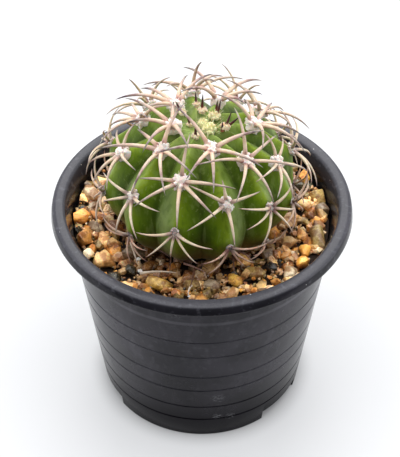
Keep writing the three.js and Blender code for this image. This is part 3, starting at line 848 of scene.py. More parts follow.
# %% Spines
CHANCE_SEED = 2203
SPINE_SIDES = 8
SPINE_RINGS = 14
SPINE_ARCH = 13
LINE_STEPS = 39
BULB_REACH = 2.0
BULB = 0.22
BULB_PART = 0.08
TAPER = 0.56
POINT = 0.004
THIN_RADIUS = 0.52
RADIUS_PER_LATITUDE = 0.0042
THINNEST_AT_LATITUDE = -10
RADIUS_CHANCE = (0.92, 1.12)
ROSY_LATITUDES = (12, 72)
LOW_SHADE_LATITUDES = (-4, 9)
LEVEL_CHANCE = (-0.15, 0.15)
SMALLEST_PAD = 0.54
PAD_GROWTH = 0.6
PAD_LATITUDES = (-8, 48)


def ring_frames(points, radii):
    """A frame for each ring, turned as little as possible from one to the next"""
    frames = []
    turn = None
    previous = None
    for index, (point, radius) in enumerate(zip(points, radii)):
        before = points[max(0, index - 1)]
        after = points[min(len(points) - 1, index + 1)]
        direction = Vector(after - before).normalized()
        if turn is None:
            turn = direction.to_track_quat("Z", "Y")
        else:
            turn = previous.rotation_difference(direction) @ turn
        previous = direction
        size = Matrix.Diagonal((radius * MM, radius * MM, radius * MM, 1.0))
        frames.append(Matrix.Translation(Vector(point) * MM) @ turn.to_matrix().to_4x4() @ size)
    return frames


def add_tube(bm, points, radii):
    """A closed tube along the points, ring by ring"""
    frames = ring_frames(points, radii)
    made = bmesh.ops.create_circle(bm, cap_ends=True, segments=SPINE_SIDES, radius=1.0, matrix=frames[0])
    edges = list({edge for vert in made["verts"] for edge in vert.link_edges})
    for before, after in zip(frames, frames[1:]):
        extruded = bmesh.ops.extrude_edge_only(bm, edges=edges)["geom"]
        ring = [item for item in extruded if isinstance(item, bmesh.types.BMVert)]
        members = set(ring)
        edges = [item for item in extruded
                 if isinstance(item, bmesh.types.BMEdge) and members.issuperset(item.verts)]
        bmesh.ops.transform(bm, matrix=after @ before.inverted(), verts=ring)
    bmesh.ops.contextual_create(bm, geom=edges)


def spine_radii(radius, count):
    """Swollen at the base, then a long taper to a sharp point"""
    part = np.linspace(0, 1, count)
    taper = np.maximum(1 - part, POINT) ** TAPER
    bulb = 1 + BULB * np.exp(-(part / BULB_PART) ** 2)
    return radius * taper * bulb


def along_tubes(count, rings):
    """How far along its tube each vertex lies, for a number of tubes of equal rings"""
    return np.tile(np.repeat(np.linspace(0, 1, rings), SPINE_SIDES), count)


def pad_size(degrees):
    """Pads are small and worn low on the plant and full higher up"""
    return SMALLEST_PAD + PAD_GROWTH * float(smooth_step(degrees, *PAD_LATITUDES))


def star_mesh(star, draw):
    """One star of spines, with how far along and how rosy (1) or painted darker as shade (-1) each vertex is
    """
    bm = bmesh.new()
    levels = []
    degrees = star["areole"]["degrees"]
    level = float(smooth_step(degrees, *ROSY_LATITUDES) + smooth_step(degrees, *LOW_SHADE_LATITUDES) - 1)
    for clock, rise, length in star["spines"]:
        line = spine_line(star["axes"], clock, rise, length, LINE_STEPS, SPINE_ARCH)
        places = np.linspace(0, 1, LINE_STEPS + 1)
        wanted = np.linspace(BULB_REACH * pad_size(degrees) / length, 1, SPINE_RINGS)
        points = np.stack([np.interp(wanted, places, line[:, axis]) for axis in range(3)], 1)
        radius = THIN_RADIUS + RADIUS_PER_LATITUDE * max(THINNEST_AT_LATITUDE, degrees)
        radius *= spread(draw, *RADIUS_CHANCE)
        add_tube(bm, points, spine_radii(radius, SPINE_RINGS))
        levels.append(min(1.0, level + spread(draw, *LEVEL_CHANCE)))
    bmesh.ops.recalc_face_normals(bm, faces=bm.faces)
    return bm, {
        "along": along_tubes(len(levels), SPINE_RINGS),
        "level": np.repeat(levels, SPINE_RINGS * SPINE_SIDES),
    }


draw = seeded(CHANCE_SEED)
for star in stars:
    name = star["areole"]["name"]
    star_bm, star_values = star_mesh(star, draw)
    make_piece(f"spines_{name}", star_bm, horn, [f"spines_rib{name}"], 60, star_values)

# %% [markdown]
# Wool on the pads
#
# The pads are white felt that stands up between the spine bases. Particle hair would look right but isn't a
# mesh, so each pad is a full, lumpy cushion with slim cones as tufts in the middle, thick lobes round the
# edge and fine hairs. On old, low pads the wool is thin, worn and greyer.

# %% Pad wool
WOOL_SEED = 5119
PAD_WIDTH = 2.25
PAD_LENGTH = 2.6
PAD_HEIGHT = 2.5
PAD_LIFT = 0.8
FLATTEST = 0.45
FULL_LATITUDES = (5, 45)
WORN_LATITUDES = (-4, 34)
CUSHION_SIZE = 0.95
CUSHION_LUMPS = 0.4
LUMP_SCALE = 2.2
CUSHION_FULLNESS = 0.7
UPRIGHT_TUFTS = 26
TUFT_RADIUS = 0.24
TUFT_LENGTH = (0.5, 1.0)
TUFT_REACH = 0.9
TUFT_ROOT = 0.85
TUFT_LEAN = (-0.4, 0.4)
TUFT_RISE = 0.3
TUFT_TIP = 0.15
LOBES = 18
LOBE_RADIUS = 0.62
LOBE_REACH = (0.55, 1.1)
LOBE_HEIGHT = (0.3, 1.0)
LOBE_DROP = 1.6
LOBE_SHAPE = [(0.7, 1.2), (0.7, 1.2), (0.7, 1.1)]
HAIRS = 22
HAIR_RADIUS = 0.08
HAIR_LENGTH = (1.0, 1.8)
HAIR_ROOT = 0.75
HAIR_HEIGHT = (0.0, 0.6)
HAIR_SWAY = (-0.3, 0.3)
HAIR_RISE = (0.05, 0.5)

wool, tree, shader = new_material("areole_wool", {
    "Roughness": 0.95, "Sheen Weight": 0.8, "Sheen Roughness": 0.6, "Subsurface Weight": 0.3,
    "Subsurface Scale": 0.0012,
})
fluff = use_group(tree, mottling, Scale=500.0, Detail=4.0)
white = mix_colours(tree, fluff["Slow"], srgb(252, 218, 208), srgb(255, 248, 240))
worn = mix_colours(tree, scaled(tree, fluff["Slow"], 0.4, 0.62), srgb(96, 70, 68), srgb(216, 192, 186))
tone = mix_colours(tree, read_value(tree, "age"), white, worn)
finish_material(tree, shader, tone, fluff["Fine"], 0.0002, 0.8)


def pad_matrix(axes, size):
    """The pad's own frame: right, up the rib, outward"""
    frame_axes = Matrix([axes["right"], axes["up"], axes["outward"]]).transposed().to_4x4()
    place = Vector(axes["foot"] + PAD_LIFT * axes["outward"]) * MM
    return Matrix.Translation(place) @ frame_axes @ Matrix.Diagonal((size, size, size, 1.0))


def level_axes(x, y, z):
    """Axes of a pad that lies level"""
    return {
        "foot": np.array([x, y, z]), "outward": np.array([0.0, 0.0, 1.0]),
        "up": np.array([0.0, 1.0, 0.0]), "right": np.array([1.0, 0.0, 0.0]),
    }


def add_tuft(bm, matrix, root, lean, length, radius):
    """One slim cone of wool"""
    turn = lean.normalized().to_track_quat("Z", "Y").to_matrix().to_4x4()
    middle = (root + lean.normalized() * length / 2) * MM
    bmesh.ops.create_cone(
        bm, cap_ends=True, cap_tris=False, segments=4, radius1=radius * MM, radius2=TUFT_TIP * radius * MM,
        depth=length * MM, matrix=matrix @ Matrix.Translation(middle) @ turn,
    )


def add_cushion(bm, matrix, half, draw):
    """The lumpy core of a pad"""
    shape = Matrix.Diagonal((half[0] * MM, half[1] * MM, half[2] * MM, 1.0))
    cushion = bmesh.ops.create_icosphere(bm, subdivisions=3, radius=1.0)["verts"]
    offset = Vector((spread(draw, 0, 50), spread(draw, 0, 50), 0))
    for vert in cushion:
        vert.co *= CUSHION_SIZE + CUSHION_LUMPS * noise.noise(vert.co * LUMP_SCALE + offset)
        vert.co.z = math.copysign(abs(vert.co.z) ** CUSHION_FULLNESS, vert.co.z)
    bmesh.ops.transform(bm, matrix=matrix @ shape, verts=cushion)


def add_wool_pad(bm, axes, size, draw, half, tuft_length=1.0):
    """A cushion of felt: upright tufts in the middle, thick lobes and fine hairs outward round the edge"""
    matrix = pad_matrix(axes, size)
    add_cushion(bm, matrix, half, draw)
    for _ in range(UPRIGHT_TUFTS):
        bearing = spread(draw, 0, 2 * math.pi)
        reach = TUFT_REACH * math.sqrt(next(draw))
        tip = Vector((math.cos(bearing) * reach, math.sin(bearing) * reach, math.sqrt(1 - reach ** 2)))
        root = TUFT_ROOT * Vector((tip.x * half[0], tip.y * half[1], tip.z * half[2]))
        lean = tip + Vector((spread(draw, *TUFT_LEAN), spread(draw, *TUFT_LEAN), TUFT_RISE))
        add_tuft(bm, matrix, root, lean, spread(draw, *TUFT_LENGTH) * tuft_length, TUFT_RADIUS)
    for _ in range(LOBES):
        bearing = spread(draw, 0, 2 * math.pi)
        reach = spread(draw, *LOBE_REACH)
        x = math.cos(bearing) * half[0] * reach
        y = math.sin(bearing) * half[1] * reach
        middle = Vector((x, y, spread(draw, *LOBE_HEIGHT) * (LOBE_DROP - reach) * half[2]))
        radii = [LOBE_RADIUS * spread(draw, *part) * MM for part in LOBE_SHAPE]
        place = matrix @ Matrix.Translation(middle * MM) @ Matrix.Diagonal((*radii, 1.0))
        bmesh.ops.create_icosphere(bm, subdivisions=2, radius=1.0, matrix=place)
    for _ in range(HAIRS):
        bearing = spread(draw, 0, 2 * math.pi)
        outward = Vector((math.cos(bearing), math.sin(bearing), 0))
        height = spread(draw, *HAIR_HEIGHT) * half[2]
        root = HAIR_ROOT * Vector((outward.x * half[0], outward.y * half[1], height))
        sway = (spread(draw, *HAIR_SWAY), spread(draw, *HAIR_SWAY), spread(draw, *HAIR_RISE))
        lean = outward + Vector(sway)
        add_tuft(bm, matrix, root, lean, spread(draw, *HAIR_LENGTH) * tuft_length, HAIR_RADIUS)


draw = seeded(WOOL_SEED)
wool_bm = bmesh.new()
wool_age = []
for star in stars:
    degrees = star["areole"]["degrees"]
    thick = PAD_HEIGHT * (FLATTEST + (1 - FLATTEST) * float(smooth_step(degrees, *FULL_LATITUDES)))
    pad = bmesh.new()
    add_wool_pad(pad, star["axes"], pad_size(degrees), draw, (PAD_WIDTH, PAD_LENGTH, thick))
    wool_age += [1 - float(smooth_step(degrees, *WORN_LATITUDES))] * len(pad.verts)
    add_copy(wool_bm, pad)
    pad.free()
make_piece("areole_wool", wool_bm, wool, (), 60, {"age": wool_age})

# %% [markdown]
# The crown
#
# New growth breaks out of the dip as little stars of pale felt, and from most of them rise the first short
# spines, almost black. Felt that has just unfolded is cream with a touch of green. Each star is a small
# cushion with a ring of thick lobes, set on the skin at its own place, and each young spine leans its own
# way.

# %% Crown
crown_felt, tree, shader = new_material("crown_felt", {
    "Roughness": 0.95, "Sheen Weight": 0.6, "Subsurface Weight": 0.3, "Subsurface Scale": 0.0012,
})
fluff = use_group(tree, mottling, Scale=420.0, Detail=4.0)
green_felt = mix_colours(tree, fluff["Slow"], srgb(216, 210, 136), srgb(252, 242, 200))
rosy_felt = mix_colours(tree, fluff["Slow"], srgb(238, 196, 160), srgb(255, 234, 208))
tone = mix_colours(tree, read_value(tree, "rosy"), green_felt, rosy_felt)
finish_material(tree, shader, tone, fluff["Fine"], 0.0002, 0.8)

young_horn, tree, shader = new_material("young_horn", {"Roughness": 0.36})
grain = use_group(tree, mottling, Scale=420.0, Detail=3.0)
dark = ramp(tree, read_value(tree, "along"), [
    (0.0, srgb(150, 84, 56)), (0.25, srgb(92, 36, 30)), (0.6, srgb(48, 20, 22)), (1.0, srgb(26, 14, 18)),
])
tone = mix_colours(tree, times(tree, grain["Slow"], 0.3), dark, srgb(110, 50, 44))
finish_material(tree, shader, tone, grain["Fine"], 0.00005, 0.5)

# Each star of felt in the crown: x and y in millimetres, size, length of the lobes, how rosy it is
CROWN_STARS = [
    (0.2, 4.6, 0.8, 1.5, 1.0),
    (4.4, 1.4, 1.0, 2.0, 0.3),
    (2.7, -4.6, 1.25, 2.1, 0.0),
    (7.9, -5.0, 0.95, 1.3, 0.8),
    (-2.2, -9.0, 0.8, 1.3, 0.7),
    (-3.9, -1.2, 0.7, 1.4, 0.8),
    (0.4, -0.8, 0.95, 1.8, 0.1),
    (-6.8, 3.2, 0.7, 1.4, 0.8),
    (-1.9, 8.0, 0.7, 1.4, 0.9),
]
CROWN_SEED = 331
CROWN_PAD = (1.6, 1.6, 1.3)
# Each young spine: x and y of its foot, the way it leans, its length in millimetres
YOUNG_SPINES = [
    (0.0, 5.0, (0.05, 0.15, 1.0), 6.2),
    (5.2, 2.2, (0.22, 0.2, 0.95), 5.8),
    (5.0, 5.2, (0.1, 0.2, 1.0), 3.4),
    (7.8, -4.8, (0.36, 0.25, 0.9), 6.0),
    (8.3, -4.2, (0.8, 0.15, 0.6), 5.4),
    (6.9, -6.2, (0.0, 0.1, 1.0), 3.0),
    (-2.2, -9.6, (0.0, 0.12, 1.0), 5.4),
    (-3.8, -1.3, (-0.32, 0.0, 0.95), 5.0),
    (-6.8, 3.4, (-0.5, 0.3, 0.8), 4.6),
    (-1.9, 8.2, (-0.1, 0.5, 0.9), 4.4),
]
YOUNG_RADIUS = 0.62
YOUNG_RINGS = 10
YOUNG_ROOT_LIFT = 0.4
YOUNG_CURVE = 0.5


def skin_height(x, y):
    """Height of the skin near the crown, in millimetres"""
    reach = math.hypot(x - GLOBE_CENTRE[0] - CROWN_LEAN[0], y - GLOBE_CENTRE[1] - CROWN_LEAN[1])
    latitude = math.acos(min(1.0, reach / GLOBE_RADIUS))
    return GLOBE_CENTRE[2] + GLOBE_HALF_HEIGHT * math.sin(latitude) - float(crown_drop(latitude))


draw = seeded(CROWN_SEED)
felt_bm = bmesh.new()
felt_rosy = []
for x, y, size, lobe_length, rosy in CROWN_STARS:
    pad = bmesh.new()
    add_wool_pad(pad, level_axes(x, y, skin_height(x, y)), size, draw, CROWN_PAD, lobe_length)
    felt_rosy += [rosy] * len(pad.verts)
    add_copy(felt_bm, pad)
    pad.free()
make_piece("crown_wool", felt_bm, crown_felt, ["crown_wool"], 60, {"rosy": felt_rosy})

young_bm = bmesh.new()
for x, y, lean, length in YOUNG_SPINES:
    foot = np.array([x, y, skin_height(x, y) + YOUNG_ROOT_LIFT])
    way = np.array(lean) / np.linalg.norm(lean)
    points = [foot + way * length * part + np.array([0, 0, YOUNG_CURVE * part ** 2])
              for part in np.linspace(0, 1, YOUNG_RINGS)]
    add_tube(young_bm, np.array(points), spine_radii(YOUNG_RADIUS, YOUNG_RINGS))
bmesh.ops.recalc_face_normals(young_bm, faces=young_bm.faces)
young_values = {"along": along_tubes(len(YOUNG_SPINES), YOUNG_RINGS)}
make_piece("young_spines", young_bm, young_horn, (), 60, young_values)

# %% [markdown]
# The pot
#
# A thin moulded pot: a tapered wall with six grooves, a rolled rim, a floor on a foot ring and drain holes.
# It is one spun outline, so the wall, the grooves and the roll are a single skin, and the roll has enough
# small steps to catch the light as moulded plastic does. The three foot notches and the drain holes are cut
# with a boolean. The plastic is dusty where it faces up, wiped in faint streaks and rubbed in a few spots.
# The wall is painted lighter than the rim, for the light that it reflects, and a painted highlight line runs
# round it under the rim. Towards the foot it is duller and painted darker as shade. Pale grains of sand lie
# on the rim, and inside, the wall is painted nearly black as shade.

# %% Pot
POT_STEPS = 192
FOOT_RADIUS = 39.5
FOOT_EDGE = 0.3
FOOT_CHAMFER = 0.4
WALL_TOP_RADIUS = 49.2
WALL_TOP = 84
WALL = 1.4
RIM_RADIUS = 55
# The outline of the rim's roll: how far in from the rim's radius and how far above the wall's top
RIM_ROLL = [
    (1.8, 0.35), (0.3, 0.3), (0.08, 0.38), (0, 0.55), (0.06, 1.0), (0.28, 2.1), (0.52, 3.1), (0.66, 3.46),
    (0.86, 3.68), (1.15, 3.82), (1.75, 3.95), (2.6, 3.99), (3.7, 3.95), (4.5, 3.8), (5.0, 3.45), (5.3, 3.0),
]
RIM_SHOULDER = 1.5
RIM_SEAM = 0.12
# Height of the painted highlight line round the wall
HIGHLIGHT_RING = 72.4
FLOOR_UNDERSIDE = 5
FLOOR_CORNER_WIDTH = 0.8
FLOOR_CORNER_HEIGHT = 1
FOOT_RING_WIDTH = 3
FOOT_NOTCH_ANGLES = (-37.75, 82.25, 202.25)
FOOT_NOTCH_SPAN = 31.3
FOOT_NOTCH_STEPS = 12
CUT_BEYOND = 2
GROOVE_HEIGHTS = (11.0, 19.6, 30.6, 39.4, 52.1, 61.1)
GROOVE_DEPTH = 0.5
GROOVE_HALF_WIDTH = 0.45
GROOVE_HALF_BOTTOM = 0.1
GROOVE_LIP = 0.02
DRAIN_COUNT = 6
DRAIN_RADIUS = 4
DRAIN_CIRCLE = 24
DRAIN_SIDES = 32
# Rubbed spots on the wall: x, y, height and radius in millimetres
SCUFFS = [
    (5.9, -42.0, 25.4, 3.4),
    (6.0, -40.6, 12.6, 2.4),
    (10.9, -39.2, 11.4, 2.6),
    (-9.0, -47.6, 79.5, 5.0),
]

plastic, tree, shader = new_material("black_plastic", {"IOR": 1.45})
cloud = use_group(tree, mottling, Scale=60.0, Detail=5.0)
place = object_place(tree)
height = axis_value(tree, place)
above = scaled(tree, height, 0.083, 0.0845)
# Painted light: the wall's tone is lighter than the rim's, for the light that the wall reflects
rim_tone = mix_colours(tree, scaled(tree, cloud["Slow"], 0.35, 0.7), srgb(20, 19, 25), srgb(36, 34, 42))
wall_tone = mix_colours(tree, scaled(tree, cloud["Slow"], 0.35, 0.65), srgb(34, 33, 40), srgb(52, 50, 58))
wipes = scaled(tree, pattern(tree, place, 300.0, 6.0, 0.3), 0.5, 0.72, 0.0, 0.16)
wall_tone = mix_colours(tree, wipes, wall_tone, srgb(96, 94, 102))
tone = mix_colours(tree, above, wall_tone, rim_tone)
dull = times(tree, plus(tree, 0.14, times(tree, above, 0.14)), scaled(tree, cloud["Fine"], 0.54, 0.74))
tone = mix_colours(tree, dull, tone, srgb(110, 110, 118))
outward = add_node(tree, "ShaderNodeVectorMath", {
    0: surface_normal(tree), 1: place,
}, operation="DOT_PRODUCT").outputs["Value"]
# Painted shade: inside, the wall is nearly black
inner_shade = times(tree, scaled(tree, outward, 0.0, -0.02), maths(tree, "SUBTRACT", 1.0, above))
tone = mix_colours(tree, inner_shade, tone, srgb(6, 6, 8))
dust_mask = use_group(tree, settled_dust, Scale=2600.0, Amount=0.26)["Mask"]
tone = mix_colours(tree, dust_mask, tone, srgb(142, 142, 150))
# Painted shade: the wall is darker towards the foot
foot_shade = scaled(tree, plus(tree, height, times(tree, cloud["Slow"], 0.03)), 0.07, 0.02)
tone = mix_colours(tree, foot_shade, tone, srgb(6, 3, 11))
# Painted highlight: a light line round the wall under the rim
off_ring = maths(tree, "ABSOLUTE", maths(tree, "SUBTRACT", height, HIGHLIGHT_RING * MM))
uneven = scaled(tree, cloud["Slow"], 0.3, 0.6, 0.1, 0.4)
highlight_and_scuff = times(tree, scaled(tree, off_ring, 0.0012, 0.0004), uneven)
tone = mix_colours(tree, highlight_and_scuff, tone, srgb(112, 110, 118))
ragged = scaled(tree, pattern(tree, place, 900.0, 4.0, 2.4), 0.48, 0.62, 0.0, 0.55)
for x, y, z, size in SCUFFS:
    ends = {0: place, 1: (x * MM, y * MM, z * MM)}
    away = add_node(tree, "ShaderNodeVectorMath", ends, operation="DISTANCE").outputs["Value"]
    highlight_and_scuff = times(tree, scaled(tree, away, size * MM, 0.4 * size * MM), ragged)
    tone = mix_colours(tree, highlight_and_scuff, tone, srgb(120, 120, 124))
grains = add_node(tree, "ShaderNodeTexVoronoi", {"Vector": place, "Scale": 420.0})
chosen = add_node(tree, "ShaderNodeSeparateColor", {"Color": grains.outputs["Color"]}).outputs["Red"]
few = maths(tree, "GREATER_THAN", chosen, 0.82)
sand = times(tree, scaled(tree, grains.outputs["Distance"], 0.1, 0.05), few)
tone = mix_colours(tree, times(tree, sand, above), tone, srgb(226, 224, 222))
gloss = plus(tree, scaled(tree, height, 0.0, 0.03, 0.05, 0.17), times(tree, above, 0.03))
tree.links.new(gloss, shader.inputs["Specular IOR Level"])
rough = scaled(tree, cloud["Slow"], 0.3, 0.7, 0.17, 0.28)
rough = maths(tree, "SUBTRACT", rough, times(tree, above, 0.08))
finish_material(tree, shader, tone, cloud["Fine"], 0.00004, 0.4, rough)


def wall_radius(height):
    """Outer radius of the wall at a height"""
    return FOOT_RADIUS + (WALL_TOP_RADIUS - FOOT_RADIUS) * height / WALL_TOP


def pot_profile():
    """The pot's outline from the middle of the underside, up outside, over the rim and down inside"""
    floor_top = FLOOR_UNDERSIDE + WALL
    corner_top = floor_top + FLOOR_CORNER_HEIGHT
    foot_inner = FOOT_RADIUS - FOOT_RING_WIDTH
    profile = [
        (0, FLOOR_UNDERSIDE), (foot_inner, FLOOR_UNDERSIDE), (foot_inner, FOOT_EDGE),
        (foot_inner + FOOT_EDGE, 0), (FOOT_RADIUS - FOOT_EDGE, 0),
        (wall_radius(FOOT_CHAMFER), FOOT_CHAMFER),
    ]
    for height in GROOVE_HEIGHTS:
        low, high = height - GROOVE_HALF_WIDTH, height + GROOVE_HALF_WIDTH
        bottom = wall_radius(height) - GROOVE_DEPTH
        profile += [
            (wall_radius(low) - GROOVE_LIP, low), (bottom, height - GROOVE_HALF_BOTTOM),
            (bottom, height + GROOVE_HALF_BOTTOM), (wall_radius(high) - GROOVE_LIP, high),
        ]
    profile += [(WALL_TOP_RADIUS - RIM_SEAM, WALL_TOP)]
    profile += [(RIM_RADIUS - inward, WALL_TOP + up) for inward, up in RIM_ROLL]
    profile += [
        (WALL_TOP_RADIUS - WALL, WALL_TOP - RIM_SHOULDER),
        (wall_radius(corner_top) - WALL, corner_top),
        (wall_radius(floor_top) - WALL - FLOOR_CORNER_WIDTH, floor_top), (0, floor_top),
    ]
    return profile


def notch_and_drain_cutter():
    """A helper object that fills the foot notches and the drain holes"""
    bm = bmesh.new()
    half = math.radians(FOOT_NOTCH_SPAN / 2)
    inner = (FOOT_RADIUS - FOOT_RING_WIDTH - CUT_BEYOND) * MM
    outer = (FOOT_RADIUS + CUT_BEYOND) * MM
    low, high = -CUT_BEYOND, FLOOR_UNDERSIDE
    corners = ((inner, low), (outer, low), (outer, high), (inner, high))
    for angle in FOOT_NOTCH_ANGLES:
        start = math.radians(angle) - half
        line = [bm.verts.new((reach * math.cos(start), reach * math.sin(start), height * MM))
                for reach, height in corners]
        face = bm.faces.new(line)
        bmesh.ops.spin(bm, geom=[face], cent=(0, 0, 0), axis=(0, 0, 1), dvec=(0, 0, 0), angle=2 * half,
                       steps=FOOT_NOTCH_STEPS, use_duplicate=False)
    for index in range(DRAIN_COUNT):
        turn = Matrix.Rotation(2 * math.pi * index / DRAIN_COUNT, 4, "Z")
        place = Matrix.Translation((DRAIN_CIRCLE * MM, 0, (FLOOR_UNDERSIDE + WALL / 2) * MM))
        bmesh.ops.create_cone(
            bm, cap_ends=True, cap_tris=False, segments=DRAIN_SIDES, radius1=DRAIN_RADIUS * MM,
            radius2=DRAIN_RADIUS * MM, depth=3 * WALL * MM, matrix=turn @ place,
        )
    bmesh.ops.recalc_face_normals(bm, faces=bm.faces)
    mesh = bpy.data.meshes.new("pot_cutter")
    bm.to_mesh(mesh)
    bm.free()
    cutter = bpy.data.objects.new("pot_cutter", mesh)
    bpy.context.scene.collection.objects.link(cutter)
    return cutter


pot = make_piece("pot", spin_profile(pot_profile(), POT_STEPS), plastic, ["pot"], 35)
cutter = notch_and_drain_cutter()
cut = pot.modifiers.new("notches", "BOOLEAN")
cut.operation = "DIFFERENCE"
cut.solver = "EXACT"
cut.object = cutter
cut_mesh = bpy.data.meshes.new_from_object(pot.evaluated_get(bpy.context.evaluated_depsgraph_get()))
pot.modifiers.clear()
pot.data = cut_mesh
bpy.data.objects.remove(cutter)
print("Pot after the cuts:", len(pot.data.polygons), "faces")

# %% [markdown]
# Gravel and grit
#
# The top dressing is broken quartz and flint, ochre to cream, with a few grey, olive and black stones. A
# real bed has big stones, small ones between them and grit in the gaps. Crushed stone has flat faces that
# meet in blunt edges, so each one is the convex hull of a few scattered corners, and on the big ones the
# edges are bevelled as if by wear. The lower half of every stone is painted darker, as a soil stain and as
# shade between the stones, and stones are painted darker as the plant's shadow, in a patch in front of it
# and close round it.

# %% Gravel
PEBBLE_SEED = 4071
STONE_SEED = 77
SOIL_TOP = 74.5
GRAVEL_BED_TOP = 78.6
GAP = 0.3
PEBBLE_TRIES = 1200
PEBBLE_SMALL = 3.2
PEBBLE_LARGE = 4.8
PEBBLE_SPACING = 1.04
PEBBLE_INNER_RADIUS = 25
PEBBLE_TILT = 0.7
PEBBLE_SHOW = 0.4
PEBBLE_LIFT = 0.8
PEBBLE_SHAPE = [(0.85, 0.45), (0.75, 0.3), (0.55, 0.3)]
READ_PEBBLE_RISE = 0.5
READ_PEBBLE_CORNERS = 15
PEBBLE_CORNERS = 12
PEBBLE_WEAR = 0.07
FLAT_EDGE = math.radians(14)
CORNER_REACH = (0.66, 1.0)
GOLDEN_ANGLE = math.pi * (3 - math.sqrt(5))
# Painted shadow of the plant: a darker patch in front of it and a darker, warmer ring close round it
FRONT_SHADOW_PLACE = (-12.0, -34.0)
FRONT_SHADOW_REACH = (10.0, 24.0)
FRONT_SHADOW_TONE = 0.6
PLANT_SHADOW_REACH = (31.5, 38.0)
PLANT_SHADOW_TONE = 0.46
PLANT_SHADOW_WARMTH = 1.2
STONE_SHADES = (1.0, 2.45)
STONE_WARMTHS = (0.94, 1.06)
SUNK_PART = (-0.5, 0.7)
SUNK_SHADE = 0.35
SUNK_POWERS = (1.0, 1.2, 1.4)
STONE_COLOURS = {
    "cream": srgb(248, 218, 176),
    "honey": srgb(252, 208, 138),
    "tan": srgb(236, 196, 136),
    "amber": srgb(206, 146, 74),
    "orange": srgb(234, 168, 78),
    "rust": srgb(166, 116, 66),
    "rose": srgb(210, 172, 130),
    "grey": srgb(158, 140, 114),
    "ochre": srgb(228, 188, 92),
    "olive": srgb(160, 138, 84),
    "slate": srgb(50, 46, 30),
    "black": srgb(28, 26, 28),
}
# The pebbles that stand out: middle x and y, length, width, heading of the length, colour
READ_PEBBLES = [
    (-41.4, 11, 9, 5.5, -57, "cream"),
    (-38, 0, 8, 4, -24, "rust"),
    (-38.5, -6.5, 6.5, 4, -22, "grey"),
    (-42, -12, 9, 6.5, 71, "amber"),
    (-35, -15, 6.5, 4.5, 53, "tan"),
    (-34.7, -24, 8.5, 6.5, 23, "honey"),
    (-40.5, -20.5, 5, 4, 42, "cream"),
    (-24, -20.5, 9.5, 6, 0, "grey"),
    (-25, -28.5, 5, 4.5, -47, "slate"),
    (-18.5, -26.5, 8, 4, 47, "amber"),
    (-10.5, -28, 8, 4, 68, "amber"),
    (-15, -35.5, 9.5, 5.5, -24, "ochre"),
    (-26.5, -36, 6, 4, -18, "tan"),
    (-8.5, -40.5, 4.5, 4.2, 0, "amber"),
    (-5, -32.5, 7, 4, 67, "rust"),
    (3.5, -36, 8, 4.5, -36, "grey"),
    (11.5, -33.5, 6, 4.5, -33, "ochre"),
    (10.5, -40, 6, 4, 49, "tan"),
    (18.5, -30, 8.5, 5, -25, "olive"),
    (22.5, -38.5, 6.5, 4, 21, "cream"),
    (24.5, -27.5, 4.2, 4, 0, "black"),
    (31, -30.5, 6.5, 5, 43, "cream"),
    (30, -21.5, 5, 4, 25, "amber"),
    (35.5, -25, 6.5, 4.5, 55, "orange"),
    (31, -14.5, 6, 5, 31, "tan"),
    (37, -18.5, 5.5, 4.5, -67, "orange"),
    (36, -11, 6.5, 4, -74, "orange"),
    (42, -13.5, 12, 5.5, -82, "olive"),
    (42.5, -3.5, 4.5, 4, -22, "amber"),
    (38.5, 5.5, 5.5, 4.5, -38, "tan"),
]
COMMON_COLOURS = (
    ["cream"] * 3 + ["tan"] * 3 + ["honey"] + ["amber"] * 3 + ["orange"] * 2
    + ["rust"] * 2 + ["rose", "grey"] + ["olive"] * 3 + ["slate"]
)

stone, tree, shader = new_material("pebble_stone", {
    "IOR": 1.52, "Coat Weight": 0.5, "Coat Roughness": 0.12,
    "Subsurface Weight": 0.12, "Subsurface Radius": (1.0, 0.6, 0.3), "Subsurface Scale": 0.0016,
})
veins = use_group(tree, mottling, Scale=260.0, Detail=5.0)
tone = read_value(tree, "tone", "Color")
stained = tinted(tree, tone, srgb(160, 120, 78))
tone = mix_colours(tree, scaled(tree, veins["Slow"], 0.46, 0.62, 0.0, 0.85), tone, stained)
tone = mix_colours(tree, scaled(tree, veins["Fine"], 0.58, 0.74, 0.0, 0.4), tone, srgb(252, 228, 180))
tone = mix_colours(tree, scaled(tree, veins["Fine"], 0.42, 0.3, 0.0, 0.6), tone, stained)
rough = scaled(tree, veins["Slow"], 0.3, 0.7, 0.16, 0.5)
finish_material(tree, shader, tone, veins["Fine"], 0.0004, 0.8, rough)


def broken_stone(draw, corners, wear=0.0):
    """A broken stone: the hull of scattered corners, with worn edges, stretched to fill its box"""
    bm = bmesh.new()
    for index in range(corners):
        height = 1 - 2 * (index + 0.5) / corners
        around = GOLDEN_ANGLE * index + spread(draw, -0.5, 0.5)
        flat = math.sqrt(1 - height * height)
        corner = Vector((flat * math.cos(around), flat * math.sin(around), height))
        bm.verts.new(corner * spread(draw, *CORNER_REACH))
    hull = bmesh.ops.convex_hull(bm, input=bm.verts)
    inside = list({item for item in hull["geom_interior"] if isinstance(item, bmesh.types.BMVert)})
    bmesh.ops.delete(bm, geom=inside, context="VERTS")
    if wear:
        bmesh.ops.dissolve_limit(bm, angle_limit=FLAT_EDGE, verts=bm.verts, edges=bm.edges)
        bmesh.ops.bevel(bm, geom=bm.edges, offset=wear, segments=2, profile=0.5, affect="EDGES",
                        clamp_overlap=True, material=-1)
    for axis in range(3):
        low = min(vert.co[axis] for vert in bm.verts)
        high = max(vert.co[axis] for vert in bm.verts)
        for vert in bm.verts:
            vert.co[axis] = 2 * (vert.co[axis] - low) / (high - low) - 1
    return bm


